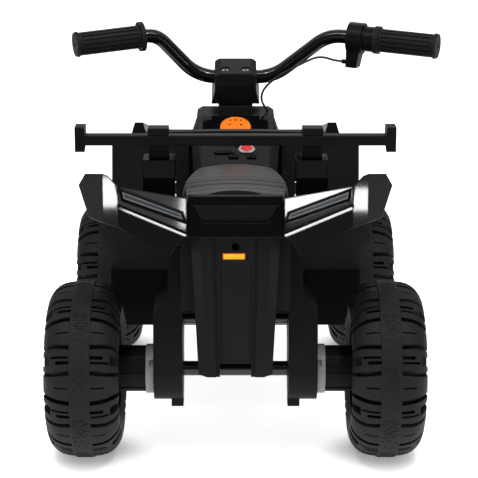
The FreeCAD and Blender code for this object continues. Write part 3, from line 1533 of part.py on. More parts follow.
def all_nodes():
    nodes = wheel_nodes()
    reach = wheel_x + axle_end
    nodes["rear_axle_rod"] = bar_along_x(axle_radius, -reach, reach, rear_axle_y, axle_z)
    sleeve = bar_along_x(sleeve_diameter / 2, -box_half, box_half, rear_axle_y, axle_z)
    nodes["axle_sleeve"] = sleeve.cut(bar_along_x(axle_radius + fit_gap, -box_half - overrun,
                                                  box_half + overrun,
                                                  rear_axle_y, axle_z))
    nodes["cross_tube"] = bar_along_x(cross_tube_diameter / 2, -box_half, box_half, rear_axle_y, cross_tube_z)
    nodes.update(pair("gearbox_casing", gearbox_casing()))
    nodes["drive_motors"] = Part.makeCompound([drive_motor(), mirrored(drive_motor())])
    nodes["chassis_tub"] = chassis_tub()
    nodes["battery"] = battery()
    nodes["control_box"] = control_box()
    nodes["steering_stem"] = steering_stem()
    nodes["stem_bushes"] = stem_bushes()
    nodes["front_axle_beam"] = front_axle_beam()
    nodes.update(pair("knuckle", knuckle()))
    nodes["left_tie_rod"] = tie_rod(-1, 0)
    nodes["right_tie_rod"] = tie_rod(1, 1)
    nodes["handlebar"] = handlebar()
    nodes["clamp_body"] = clamp_body()
    nodes["clamp_cap"] = clamp_cap()
    nodes["clamp_bolts"] = clamp_bolts()
    nodes["left_grip"] = left_grip()
    nodes["throttle_grip"] = throttle_grip()
    nodes["throttle_housing"] = throttle_housing()
    nodes["throttle_cable"] = throttle_cable()
    nodes["tank_cover"] = tank_cover()
    nodes["dash_panel"] = dash_panel()
    nodes["media_panel"] = media_panel()
    nodes["button_bezel"] = button_bezel()
    nodes["power_button"] = power_button()
    nodes["left_rocker"], nodes["right_rocker"] = [rocker(x) for x in rocker_xs]
    nodes["sound_pad"] = sound_pad()
    nodes["steering_cowl"] = steering_cowl()
    nodes["seat"] = seat()
    nodes["seat_base"] = seat_base()
    nodes["tail_box"] = tail_box()
    nodes["tail_cover"] = tail_cover()
    nodes["charge_socket"] = charge_socket()
    nodes.update(pair("rear_fender", rear_fender()))
    nodes.update(pair("tail_lamp", tail_lamp()))
    nodes["rear_rack"] = rear_rack()
    nodes["rack_posts"] = rack_posts()
    nodes["rack_cross_bar"] = rack_cross_bar()
    nodes["front_body"] = front_body()
    nodes["headlamps"] = Part.makeCompound([headlamp(), mirrored(headlamp())])
    nodes["front_rack"] = front_rack()
    nodes["front_bumper"] = front_bumper()
    return nodes


os.makedirs("parts", exist_ok=True)
for name, shape in all_nodes().items():
    shape.exportStep(f"parts/{name}.step")
    print(name, len(shape.Solids), "solids", round(shape.Volume / 1000, 1), "cm3", shape.isValid())
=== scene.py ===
# %% [markdown]
# # Kids quad bike
# A battery ride-on for a small child, seen from behind. The solids of the shared frame already have the
# right shapes and places. This lesson gives each of them the surface that the real moulding has, and
# models the pieces that plain solids can't show well: the throttle cable, the treaded tyres, the marks
# on the sound pad, the small plate on the tail and the thin rims of the tail lamps.

from math import pi, radians

import bmesh
import bpy
from mathutils import Matrix, Quaternion, Vector


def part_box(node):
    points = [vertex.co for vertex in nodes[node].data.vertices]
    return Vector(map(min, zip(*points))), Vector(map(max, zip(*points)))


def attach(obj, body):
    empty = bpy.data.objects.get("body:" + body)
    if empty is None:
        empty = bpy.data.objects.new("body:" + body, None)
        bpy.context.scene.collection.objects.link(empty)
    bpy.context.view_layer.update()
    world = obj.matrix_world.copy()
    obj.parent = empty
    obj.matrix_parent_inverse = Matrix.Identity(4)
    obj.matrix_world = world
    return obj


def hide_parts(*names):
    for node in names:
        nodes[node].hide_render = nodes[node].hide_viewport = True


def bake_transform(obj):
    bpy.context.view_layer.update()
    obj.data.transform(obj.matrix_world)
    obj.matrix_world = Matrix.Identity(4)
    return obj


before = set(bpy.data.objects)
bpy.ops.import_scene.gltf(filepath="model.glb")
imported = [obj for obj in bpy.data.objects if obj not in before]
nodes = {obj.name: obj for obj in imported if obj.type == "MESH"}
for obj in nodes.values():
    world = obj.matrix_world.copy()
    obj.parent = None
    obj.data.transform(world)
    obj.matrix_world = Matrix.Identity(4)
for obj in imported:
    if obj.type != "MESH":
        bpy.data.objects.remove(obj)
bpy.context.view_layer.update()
MM = 0.001
wheel_names = ("rear_left", "rear_right", "front_left", "front_right")
wheel_centre = {wheel: sum(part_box(wheel + "_tyre"), Vector()) / 2 for wheel in wheel_names}

# %% [markdown]
# ## Camera
# The picture was taken straight from behind with a long lens, a little above the seat. The camera could
# be placed by eye, but here its distance, height and tilt were worked out from the four tyres' places,
# so the solids lie on the picture.

# %% Camera
image_size = 478
focal_pixels = 1716.2
centre_offset = 3.5
camera_tilt = 13.786
camera_place = (0, -2.5921, 0.8871)
sensor_width = 36

bpy.ops.object.camera_add(location=camera_place, rotation=(radians(90 - camera_tilt), 0, 0))
camera = bpy.context.object
camera.data.sensor_width = sensor_width
camera.data.lens = sensor_width * focal_pixels / image_size
camera.data.shift_x = centre_offset / image_size
bpy.context.scene.camera = camera
print("lens", round(camera.data.lens, 1), "mm")

# %% [markdown]
# ## Helpers for finishes
# Colours are written as the hex values a paint program shows. Blender works in linear light, so one
# function converts them. Nodes could each be added and linked in four lines; one small function adds a
# node with its settings and its links.


# %% Colour and node helpers
def linear(hex_colour):
    channels = [int(hex_colour[place:place + 2], 16) / 255 for place in (1, 3, 5)]
    return [c / 12.92 if c <= 0.04045 else ((c + 0.055) / 1.055) ** 2.4 for c in channels] + [1.0]


def add(tree, kind, settings=None, links=None):
    made = tree.nodes.new(kind)
    for name, value in (settings or {}).items():
        if not isinstance(name, str) or name in made.inputs:
            made.inputs[name].default_value = value
        else:
            setattr(made, name, value)
    for name, source in (links or {}).items():
        tree.links.new(source, made.inputs[name])
    return made


def per_metre(size_mm):
    return 1 / (size_mm * MM)


print("black", [round(c, 4) for c in linear("#17181a")])

# %% [markdown]
# ## Moulded plastics
# Nearly the whole toy is injection-moulded polypropylene and ABS. Such a wall shows three things: a
# colour that is almost even, with faint flow marks as wide as a hand; a spark-eroded grain that breaks
# up the shine; and edges that are rounded by about a millimetre and catch the light. A noise could drive
# all three, but flow and grain differ a hundredfold in size, so each has its own noise, and a Bevel node
# rounds the edges in the shading.

# %% A moulded finish
flow_mark_mm = 70
shine_low_share, shine_high_share = 0.88, 1.12
grain_strength = 0.35


def moulded(name, low, high, roughness, grain_mm, grain_depth_mm, edge_mm=0.8, specular=0.35, coat=0.0):
    material = bpy.data.materials.new(name)
    material.use_nodes = True
    tree = material.node_tree
    tree.nodes.clear()
    place = add(tree, "ShaderNodeTexCoord").outputs["Object"]
    flow = add(tree, "ShaderNodeTexNoise", {"Scale": per_metre(flow_mark_mm), "Detail": 2.0},
               {"Vector": place}).outputs[0]
    # A Mix node's sockets 6 and 7 are its two colours, and output 2 is the mixed one.
    tint = add(tree, "ShaderNodeMix", {"data_type": "RGBA", 6: linear(low), 7: linear(high)},
               {0: flow}).outputs[2]
    shine = add(tree, "ShaderNodeMapRange",
                {"To Min": roughness * shine_low_share, "To Max": roughness * shine_high_share},
                {"Value": flow})
    grain = add(tree, "ShaderNodeTexNoise", {"Scale": per_metre(grain_mm), "Detail": 3.0},
                {"Vector": place})
    edge = add(tree, "ShaderNodeBevel", {"Radius": edge_mm * MM, "samples": 4})
    bump = add(tree, "ShaderNodeBump", {"Strength": grain_strength, "Distance": grain_depth_mm * MM},
               {"Height": grain.outputs[0], "Normal": edge.outputs[0]})
    shader = add(tree, "ShaderNodeBsdfPrincipled",
                 {"IOR": 1.5, "Specular IOR Level": specular, "Coat Weight": coat, "Coat Roughness": 0.08},
                 {"Base Color": tint, "Roughness": shine.outputs[0], "Normal": bump.outputs[0]})
    add(tree, "ShaderNodeOutputMaterial", None, {"Surface": shader.outputs[0]})
    return material


# Each finish: name, darkest and lightest colour, roughness, grain width and depth in mm, and where they
# differ from the usual, edge rounding in mm, specular level and coat.
# Polypropylene from a spark-eroded mould: a soft dull black. The real grain is about 0.3 mm, drawn
# coarser so that it shows.
grained_pp = moulded("grained_polypropylene", "#131415", "#191a1b", 0.46, 1.1, 0.10, 0.8, 0.06)
# ABS from a polished mould: deep black with clear reflections, only the faintest waviness.
polished_abs = moulded("polished_abs", "#080809", "#0b0b0c", 0.05, 24.0, 0.05, 2.2, 0.10)
# Satin ABS of the rack, posts and clamp: smooth, but with a wide soft highlight.
satin_abs = moulded("satin_abs", "#0c0d0e", "#121314", 0.36, 1.6, 0.05, 0.8, 0.06)
# Blow-moulded polyethylene of the tyres: waxy satin black, a little lighter than the body.
waxy_pe = moulded("waxy_polyethylene", "#1c1d1e", "#242526", 0.50, 1.8, 0.12, 1.2, 0.06)
# Ribbed grey seat moulding, satin.
seat_pp = moulded("seat_polypropylene", "#2c2b2b", "#363535", 0.42, 1.2, 0.10, 0.8, 0.2)
# Powder-coated steel tube: gloss black with a fine orange-peel skin about 2 mm wide.
powder_coat = moulded("powder_coated_steel", "#060607", "#0a0a0b", 0.16, 2.2, 0.03, 0.5, 0.3, 0.2)
# Soft thermoplastic rubber of the grips: dull, with a fine matt grain.
grip_tpe = moulded("grip_rubber", "#191a1b", "#212223", 0.5, 0.9, 0.10, 0.8, 0.06)
# Unfilled nylon of the drive rings: milky light grey, slightly waxy.
plain_nylon = moulded("plain_nylon", "#7d7f80", "#949697", 0.40, 3.0, 0.05)
# Orange ABS of the sound pad, matt.
orange_abs = moulded("orange_abs", "#e96f0c", "#f17c14", 0.45, 1.2, 0.05, 0.8, 0.2)
# Red gloss ABS of the push button.
red_abs = moulded("red_abs", "#c81818", "#d92222", 0.22, 6.0, 0.03)
# Dark grey ABS of the clamp cap and the switches.
grey_abs = moulded("grey_abs", "#141516", "#1b1c1d", 0.46, 1.4, 0.06, 0.8, 0.03)
# Cable sheath of soft PVC.
soft_pvc = moulded("soft_pvc", "#121314", "#191a1b", 0.42, 1.5, 0.04)
# Battery case of ABS, grey black.
case_abs = moulded("case_abs", "#1d1e20", "#27282b", 0.45, 1.2, 0.08)
print("plastics made")

# %% [markdown]
# ## Metals and lenses
# Zinc plating on the axle is a grey metal with a faint brushed direction. The bezel is bright plated
# ABS. The tail lenses are smoked polycarbonate over a dark reflector: see-through lenses could be cut
# hollow, but here the solid lens is closed, so a grey body with a soft gloss gives the same look. The
# headlamps are clear, so they are lighter and have a glossy coat.

# %% Metal and lens finishes
brushed_share = 0.05
plate_low_share, plate_high_share = 0.7, 1.3
plate_edge_mm, scratch_depth_mm = 0.4, 0.02


def plated(name, colour, roughness, scratch_mm):
    material = bpy.data.materials.new(name)
    material.use_nodes = True
    tree = material.node_tree
    tree.nodes.clear()
    place = add(tree, "ShaderNodeTexCoord").outputs["Object"]
    long_way = add(tree, "ShaderNodeMapping", {"Scale": (brushed_share, 1, 1)}, {"Vector": place}).outputs[0]
    lines = add(tree, "ShaderNodeTexNoise", {"Scale": per_metre(scratch_mm), "Detail": 2.0},
                {"Vector": long_way})
    shine = add(tree, "ShaderNodeMapRange",
                {"To Min": roughness * plate_low_share, "To Max": roughness * plate_high_share},
                {"Value": lines.outputs[0]})
    edge = add(tree, "ShaderNodeBevel", {"Radius": plate_edge_mm * MM, "samples": 4})
    bump = add(tree, "ShaderNodeBump", {"Strength": 0.1, "Distance": scratch_depth_mm * MM},
               {"Height": lines.outputs[0], "Normal": edge.outputs[0]})
    shader = add(tree, "ShaderNodeBsdfPrincipled", {"Base Color": linear(colour), "Metallic": 1.0},
                 {"Roughness": shine.outputs[0], "Normal": bump.outputs[0]})
    add(tree, "ShaderNodeOutputMaterial", None, {"Surface": shader.outputs[0]})
    return material


# Each plating: name, colour, roughness and the width of its lines in mm.
# Zinc-plated steel: a dull grey metal with fine lines along it.
zinc_plate = plated("zinc_plated_steel", "#a9abad", 0.32, 0.8)
# Bright plating on ABS: a clear mirror.
bright_plate = plated("bright_plated_abs", "#c9cacc", 0.12, 2.0)
# Nickel-plated steel can of the motors: darker, half matt.
motor_can = plated("plated_motor_can", "#7f8184", 0.35, 1.0)
# Smoked polycarbonate over a dark reflector: grey, with a faint waviness about 6 mm wide.
smoked_lens = moulded("smoked_polycarbonate", "#33363a", "#44484c", 0.22, 6.0, 0.10, 0.6, 0.03)
# Clear polycarbonate over a bright reflector: light grey and glossy.
clear_lens = moulded("clear_polycarbonate", "#8e9499", "#b7bcc0", 0.10, 7.0, 0.20, 0.6, 0.6, 0.6)
print("metals and lenses made")

# %% [markdown]
# ## Dressing the carried-over solids
# Most pieces of the toy are rigid mouldings whose solids are right as they are. They keep their meshes
# and take a finish.

# %% Finishes for the nodes
finish_of = {
    grained_pp: "chassis_tub left_gearbox_casing right_gearbox_casing tank_cover steering_cowl "
                "front_body tail_cover seat_base control_box front_bumper charge_socket "
                "rear_left_rim rear_right_rim front_left_rim front_right_rim",
    polished_abs: "left_rear_fender right_rear_fender tail_box dash_panel media_panel",
    satin_abs: "rear_rack rack_posts rack_cross_bar front_rack clamp_body throttle_housing",
    waxy_pe: "rear_left_tyre rear_right_tyre front_left_tyre front_right_tyre",
    powder_coat: "handlebar axle_sleeve cross_tube front_axle_beam",
    zinc_plate: "rear_axle_rod steering_stem left_knuckle right_knuckle left_tie_rod right_tie_rod "
                "clamp_bolts",
    grip_tpe: "left_grip throttle_grip",
    seat_pp: "seat",
    plain_nylon: "left_drive_ring right_drive_ring stem_bushes",
    smoked_lens: "left_tail_lamp right_tail_lamp",
    clear_lens: "headlamps",
    orange_abs: "sound_pad",
    red_abs: "power_button",
    bright_plate: "button_bezel",
    grey_abs: "left_rocker right_rocker clamp_cap",
    soft_pvc: "throttle_cable",
    case_abs: "battery",
    motor_can: "drive_motors",
}
dressed = 0
for finish, names in finish_of.items():
    for name in names.split():
        nodes[name].data.materials.clear()
        nodes[name].data.materials.append(finish)
        dressed += 1
print("dressed", dressed, "of", len(nodes))

# %% [markdown]
# ## Floor
# The toy stands on a white sheet that is lit from below, so it stays pure white but for soft shadows painted
# into its glow where the tyres touch it. An even white floor would be simpler, but the polished fenders
# mirror it and turn grey. So the sheet grows darker to the sides and towards the camera, where the picture
# doesn't look.

# %% Floor
floor_size = 24
paper_cloud_mm = 300
sheet_flare = 0.125
sheet_lift = 0.86
soft_step = {"interpolation_type": "SMOOTHSTEP"}

bpy.ops.object.select_all(action="DESELECT")
bpy.ops.mesh.primitive_plane_add(size=floor_size, location=(0, 0, 0))
floor = bpy.context.object
floor.name = "floor"
# White paper: matt, with a hardly visible cloudiness.
paper = bpy.data.materials.new("white_paper")
paper.use_nodes = True
paper_tree = paper.node_tree
paper_tree.nodes.clear()
paper_place = add(paper_tree, "ShaderNodeTexCoord").outputs["Object"]
paper_axes = add(paper_tree, "ShaderNodeSeparateXYZ", None, {"Vector": paper_place}).outputs
paper_side = add(paper_tree, "ShaderNodeMath", {"operation": "ABSOLUTE"}, {0: paper_axes["X"]}).outputs[0]
paper_spread = add(paper_tree, "ShaderNodeMath", {"operation": "MULTIPLY_ADD", 1: -sheet_flare},
                   {0: paper_axes["Y"], 2: paper_side})
at_sides = add(paper_tree, "ShaderNodeMapRange",
               soft_step | {"From Min": 0.6, "From Max": 1.0, "To Min": 1.0, "To Max": 0.5},
               {"Value": paper_spread.outputs[0]})
at_back = add(paper_tree, "ShaderNodeMapRange",
              soft_step | {"From Min": -1.0, "From Max": -0.6, "To Min": 0.6, "To Max": 1.0},
              {"Value": paper_axes["Y"]})
sheet = add(paper_tree, "ShaderNodeMath", {"operation": "MULTIPLY"},
            {0: at_sides.outputs[0], 1: at_back.outputs[0]}).outputs[0]
print("sheet", floor_size, "m wide")

# %% [markdown]
# ### Light from below the sheet
# The glow could come from lamps under a glass floor, but a sheet that shines by itself needs only an
# emission. It is weaker in a soft ring where each tyre stands, which is a painted contact shadow. The left
# half is folded onto the right, so one ring serves both tyres of a pair.

# %% Light from below the sheet
glow = add(paper_tree, "ShaderNodeMapRange",
           soft_step | {"From Min": 0.0, "From Max": 1.0, "To Min": 0.0, "To Max": sheet_lift},
           {"Value": sheet}).outputs[0]
folded = add(paper_tree, "ShaderNodeCombineXYZ", None, {"X": paper_side, "Y": paper_axes["Y"]}).outputs[0]
# Each ring dims the glow round a tyre's contact: painted shadow under the tyres.
for wheel in ("rear_right", "front_right"):
    contact = (wheel_centre[wheel].x, wheel_centre[wheel].y, 0)
    reach = add(paper_tree, "ShaderNodeVectorMath", {"operation": "DISTANCE", 1: contact}, {0: folded})
    painted_tyre_shadow = add(paper_tree, "ShaderNodeMapRange",
                soft_step | {"From Min": 0.03, "From Max": 0.10, "To Min": 0.35, "To Max": 1.0},
                {"Value": reach.outputs["Value"]})
    glow = add(paper_tree, "ShaderNodeMath", {"operation": "MULTIPLY"},
               {0: glow, 1: painted_tyre_shadow.outputs[0]}).outputs[0]
paper_cloud = add(paper_tree, "ShaderNodeTexNoise", {"Scale": per_metre(paper_cloud_mm)},
                  {"Vector": paper_place})
paper_white = add(paper_tree, "ShaderNodeMapRange",
                  soft_step | {"From Min": 0.0, "From Max": 1.0, "To Min": 0.90, "To Max": 0.92},
                  {"Value": paper_cloud.outputs[0]})
paper_tone = add(paper_tree, "ShaderNodeMath", {"operation": "MULTIPLY"},
                 {0: sheet, 1: paper_white.outputs[0]}).outputs[0]
paper_shader = add(paper_tree, "ShaderNodeBsdfPrincipled",
                   {"Roughness": 0.9, "Specular IOR Level": 0.1, "Emission Color": linear("#ffffff")},
                   {"Base Color": paper_tone, "Emission Strength": glow})
add(paper_tree, "ShaderNodeOutputMaterial", None, {"Surface": paper_shader.outputs[0]})
floor.data.materials.append(paper)
print("floor lit with", len(paper_tree.nodes), "nodes")

# %% [markdown]
# ## Light
# A long strip overhead, a wide soft sky and a dim room give the even light. Big soft boxes at the sides
# would wash out the black, so the white shapes on the polished fenders come from small cards, each
# placed where the fender mirrors it.

# %% Light
# Each light: name, place, what it faces, width, height, roll in degrees, and power in watts.
lights = (
    ("ceiling_strip", (0, -0.9, 2.3), (0, -0.3, 0.3), 3.0, 0.25, 0, 28),
    ("seat_card", (0, 3.5, 2.9), (0, -0.3, 0.42), 0.8, 0.6, 0, 12),
    ("left_line_card", (-0.66, -1.17, 2.3), (-0.11, -0.38, 0.37), 0.24, 0.10, 0, 8),
    ("right_line_card", (0.69, -1.17, 2.3), (0.11, -0.38, 0.37), 0.3, 0.10, 0, 11),
    ("left_strip_card", (-1.45, -0.505, 0.123), (-0.2, -0.505, 0.123), 0.14, 0.064, 0, 2.3),
    ("right_strip_card", (1.45, -0.505, 0.107), (0.2, -0.505, 0.107), 0.14, 0.05, 0, 1.8),
    ("right_deck_card", (1.5, -1.729, 0.3315), (0.109, -0.377, 0.41), 0.21, 0.042, 16, 4.5),
    ("left_deck_glow", (-1.5, -1.729, 0.3315), (-0.109, -0.377, 0.41), 0.5, 0.3, 0, 2.2),
    ("left_deck_card", (-1.5, -1.843, 0.30), (-0.067, -0.395, 0.39), 0.02, 0.10, 0, 0.8),
)
for name, place, target, width, height, roll, power in lights:
    aim = (Vector(place) - Vector(target)).to_track_quat("Z", "Y") @ Quaternion((0, 0, 1), radians(roll))
    bpy.ops.object.light_add(type="AREA", location=place, rotation=aim.to_euler())
    lamp = bpy.context.object
    lamp.name = name
    lamp.data.shape = "RECTANGLE"
    lamp.data.size = width
    lamp.data.size_y = height
    lamp.data.energy = power
    lamp.visible_camera = False
print("lights", [name for name, *_ in lights])

# %% [markdown]
# ### Soft ceiling and room
# White ceilings give a light with almost no shadow. It could be a huge area light, but a sun with a disc
# of 120 degrees costs nothing and falls alike on every piece. The room itself is dim, a little brighter
# ahead of the toy.

# %% Soft ceiling and room
ceiling_tilt, ceiling_disc, ceiling_power = -12, 120, 1.3
bpy.ops.object.light_add(type="SUN", location=(0, 0, 4), rotation=(radians(ceiling_tilt), 0, 0))
daylight = bpy.context.object
daylight.name = "soft_ceiling"
daylight.data.energy = ceiling_power
daylight.data.angle = radians(ceiling_disc)

world = bpy.data.worlds.new("white_studio")
bpy.context.scene.world = world
world.use_nodes = True
world.node_tree.nodes.clear()
sky_way = add(world.node_tree, "ShaderNodeTexCoord").outputs["Generated"]
sky_parts = add(world.node_tree, "ShaderNodeSeparateXYZ", None, {"Vector": sky_way})
sky_glow = add(world.node_tree, "ShaderNodeMapRange",
               {"From Min": 0.1, "From Max": 0.7, "To Min": 0.15, "To Max": 0.22},
               {"Value": sky_parts.outputs["Y"]})
sky = add(world.node_tree, "ShaderNodeBackground", {"Color": linear("#ffffff")},
          {"Strength": sky_glow.outputs[0]})
add(world.node_tree, "ShaderNodeOutputWorld", None, {"Surface": sky.outputs[0]})
bpy.context.scene.view_settings.view_transform = "Standard"
print("ceiling disc", ceiling_disc, "degrees")

# %% [markdown]
# ## Throttle cable
# A thin sheathed cable leaves the throttle housing's nub, rises a little, and drops in a loose bow to a slot
# in the steering cowl. It joins two bodies that turn against each other. It could be a bare curve, but here
# it is made a mesh with a round section. Its line is one smooth spline that the route's control points pull
# into shape.

# %% Throttle cable
cable_diameter = 3.6 * MM
merge_gap = 0.01 * MM
# Control points in mm, from the nub to the slot.
cable_route = (
    (166.92, 87.285, 516.625), (153.81, 92.12, 517.445), (142, 91, 522), (128, 86, 523.5), (115, 80, 519.5),
    (101, 78.5, 513), (87, 79, 505.5), (73, 80.5, 497.5), (60, 83, 488.5), (49, 86.5, 478.5), (42, 91, 467),
    (40.5, 96, 455), (45, 102, 444), (52, 108, 434), (60, 113, 425),
)
cable_curve = bpy.data.curves.new("throttle_cable_line", "CURVE")
cable_curve.dimensions = "3D"
cable_curve.resolution_u = 8
spline = cable_curve.splines.new("NURBS")
spline.points.add(len(cable_route) - 1)
for point, (x, y, z) in zip(spline.points, cable_route):
    point.co = (x * MM, y * MM, z * MM, 1)
spline.order_u = 3
spline.use_endpoint_u = True
cable = bpy.data.objects.new("throttle_cable_sheath", cable_curve)
bpy.context.scene.collection.objects.link(cable)
bpy.context.view_layer.update()
line_mesh = bpy.data.meshes.new_from_object(cable.evaluated_get(bpy.context.evaluated_depsgraph_get()))
cable_curve.bevel_depth = cable_diameter / 2
cable_curve.bevel_resolution = 4
cable_curve.use_fill_caps = True
bpy.ops.object.select_all(action="DESELECT")
cable.select_set(True)
bpy.context.view_layer.objects.active = cable
bpy.ops.object.convert(target="MESH")
cable = bpy.context.object
bpy.ops.object.mode_set(mode="EDIT")
bpy.ops.mesh.select_all(action="SELECT")
bpy.ops.mesh.remove_doubles(threshold=merge_gap)
bpy.ops.mesh.normals_make_consistent(inside=False)
bpy.ops.object.mode_set(mode="OBJECT")
bpy.ops.object.shade_smooth_by_angle(angle=radians(40))
cable.data.materials.clear()
cable.data.materials.append(soft_pvc)
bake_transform(cable)
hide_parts("throttle_cable")

# %% [markdown]
# ## Tyres
# Each tyre is one blow-moulded shell: a smooth raised band round the middle, and beside it rounded
# lens-shaped blocks that alternate with lugs that carry two slots. The tread could be sculpted block by
# block, but every groove has the same depth, so it is easier to turn the full tyre, and to cut it with
# curved walls that stop at a slightly smaller tyre inside it.


# %% Modelling helpers
def fresh_start():
    if bpy.context.mode != "OBJECT":
        bpy.ops.object.mode_set(mode="OBJECT")
    bpy.ops.object.select_all(action="DESELECT")


def pick(kind, test):
    bpy.ops.mesh.select_mode(type=kind)
    bpy.ops.mesh.select_all(action="DESELECT")
    shape = bmesh.from_edit_mesh(bpy.context.object.data)
    parts = {"VERT": shape.verts, "EDGE": shape.edges, "FACE": shape.faces}[kind]
    for part in parts:
        corners = [part.co] if kind == "VERT" else [vertex.co for vertex in part.verts]
        part.select_set(test(sum(corners, Vector()) / len(corners)))
    bmesh.update_edit_mesh(bpy.context.object.data)


def turned(name, outline_mm, steps):
    fresh_start()
    bpy.ops.mesh.primitive_plane_add(size=MM)
    bpy.context.object.name = name
    bpy.ops.object.mode_set(mode="EDIT")
    bpy.ops.mesh.select_all(action="SELECT")
    bpy.ops.mesh.merge(type="CENTER")
    bpy.ops.transform.translate(value=(outline_mm[0][0] * MM, 0, outline_mm[0][1] * MM))
    for (x0, r0), (x1, r1) in zip(outline_mm, outline_mm[1:]):
        step = ((x1 - x0) * MM, 0, (r1 - r0) * MM)
        bpy.ops.mesh.extrude_vertices_move(TRANSFORM_OT_translate={"value": step})
    bpy.ops.mesh.select_all(action="SELECT")
    bpy.ops.mesh.spin(steps=steps, angle=2 * pi, center=(0, 0, 0), axis=(1, 0, 0))
    bpy.ops.mesh.select_all(action="SELECT")
    bpy.ops.mesh.remove_doubles(threshold=2 * merge_gap)
    bpy.ops.mesh.normals_make_consistent(inside=False)
    bpy.ops.object.mode_set(mode="OBJECT")
    return bpy.context.object


def both_sides(half):
    return half + [(-x, r) for x, r in reversed(half)]


def cut(target, cutter):
    fresh_start()
    bpy.context.view_layer.objects.active = target
    target.select_set(True)
    boolean = target.modifiers.new("cut", "BOOLEAN")
    boolean.operation = "DIFFERENCE"
    boolean.solver = "EXACT"
    boolean.object = cutter
    bpy.ops.object.modifier_apply(modifier=boolean.name)
    bpy.data.objects.remove(cutter)


def joined(parts):
    fresh_start()
    for part in parts:
        part.select_set(True)
    bpy.context.view_layer.objects.active = parts[0]
    if len(parts) > 1:
        bpy.ops.object.join()
    return bpy.context.object


print("modelling helpers ready")

# %% [markdown]
# ### The full tyre and the smaller one inside it
# The moulding is round about its axle, so its section is drawn once, as points across the tyre and out
# from the axle, and spun. A ring could be squeezed into this shape, but a section keeps the shoulder
# where it is on the toy. The smaller tyre is the floor of the grooves, 9 mm below the tread.

# %% The full tyre and the smaller one inside it
tyre_half = [(0, 124), (8, 124), (15, 123.9), (23, 123), (31, 120.9), (37.5, 117.4), (43, 112.4),
             (47.3, 106.4), (50.3, 99.8), (51.7, 93), (51.4, 88), (49.8, 83.5), (47.2, 79), (45, 75)]
core_half = [(0, 115.0), (14, 114.9), (21.6, 114.2), (28.6, 112.0), (33.0, 109.0), (36.6, 105.0),
             (39.6, 100.0), (42.2, 95), (45.4, 90), (53, 85), (53, 70)]
tyre_steps, core_steps = 120, 96
tyre = turned("tyre", both_sides(tyre_half) + [tyre_half[0]], tyre_steps)
core = turned("tyre_core", both_sides(core_half) + [core_half[0]], core_steps)
print("tyre faces", len(tyre.data.polygons))

# %% [markdown]
# ### Groove walls
# Seen square on, a block's upper and lower edges are arcs of about 182 mm radius. Each wall starts as a
# circle of that radius. All but the arc over the tyre is deleted, the arc is drawn outwards, and
# Solidify gives it the groove's width.

# %% Groove walls and slots
repeats = 10
block_half = 21.5
arc_radius = 182.0
groove_width = 6.2
first_block = 13.0
wall_low, wall_rise, wall_half = 80, 55, 60
slot_middle, slot_rise = 110, 50
# Each pair of slots: how far out from the middle, how far round, length across the tyre, and width.
block_line = (25, 0, 18, 2.0)
lug_wide_slot = (23, 3.4, 18, 4.6)
lug_thin_slot = (27, -3.8, 24, 3.0)
lug_shoulder_notch = (48, 0, 15, 13)


def groove_wall():
    fresh_start()
    arc_place = (0, (block_half - arc_radius) * MM, wall_low * MM)
    bpy.ops.mesh.primitive_circle_add(vertices=256, radius=arc_radius * MM, location=arc_place)
    bpy.ops.object.transform_apply(location=True)
    bpy.ops.object.mode_set(mode="EDIT")
    pick("VERT", lambda place: abs(place.x) > wall_half * MM or place.y < 0)
    bpy.ops.mesh.delete(type="VERT")
    bpy.ops.mesh.select_all(action="SELECT")
    bpy.ops.mesh.extrude_region_move(TRANSFORM_OT_translate={"value": (0, 0, wall_rise * MM)})
    bpy.ops.object.mode_set(mode="OBJECT")
    solid = bpy.context.object.modifiers.new("width", "SOLIDIFY")
    solid.thickness = groove_width * MM
    solid.offset = 0
    bpy.ops.object.modifier_apply(modifier=solid.name)
    return bpy.context.object


def slot_box(x_mm, y_mm, length_mm, width_mm):
    fresh_start()
    bpy.ops.mesh.primitive_cube_add(size=1, location=(x_mm * MM, y_mm * MM, slot_middle * MM))
    bpy.context.object.scale = (length_mm * MM, width_mm * MM, slot_rise * MM)
    bpy.ops.object.transform_apply(location=True, scale=True)
    return bpy.context.object


def slot_pair(out_mm, round_mm, length_mm, width_mm):
    return [slot_box(side * out_mm, side * round_mm, length_mm, width_mm) for side in (-1, 1)]


def turned_copy(shape, degrees):
    copy = shape.copy()
    copy.data = shape.data.copy()
    bpy.context.scene.collection.objects.link(copy)
    copy.data.transform(Matrix.Rotation(radians(degrees), 4, "X"))
    return copy


upper_wall = groove_wall()
lower_wall = groove_wall()
lower_wall.data.transform(Matrix.Rotation(pi, 4, "Z"))
block_cutter = joined([upper_wall, lower_wall] + slot_pair(*block_line))
lug_cutter = joined(slot_pair(*lug_wide_slot) + slot_pair(*lug_thin_slot) + slot_pair(*lug_shoulder_notch))
lug_cutter.data.transform(Matrix.Rotation(radians(180 / repeats), 4, "X"))
one_repeat = joined([block_cutter, lug_cutter])
cutters = joined([turned_copy(one_repeat, first_block + 360 / repeats * count) for count in range(repeats)])
bpy.data.objects.remove(one_repeat)
cut(cutters, core)
cut(tyre, cutters)
print("treaded tyre faces", len(tyre.data.polygons))

# %% [markdown]
# ### Centre band
# A band 28 mm wide stands a little over 1 mm proud of the blocks, with patches of small raised squares.
# The patches could be a picture, but on the real tyre they are moulded, so each square is a small block
# with sloping sides.

# %% Centre band with its squares
band_half = [(0, 125.3), (13.2, 125.3), (14, 124.6), (14.4, 118)]
band = turned("band", both_sides(band_half) + [band_half[0]], tyre_steps)
square, square_rise, square_radius = 4.4, 1.2, 125.4
square_share, square_top_share = 0.9, 0.82
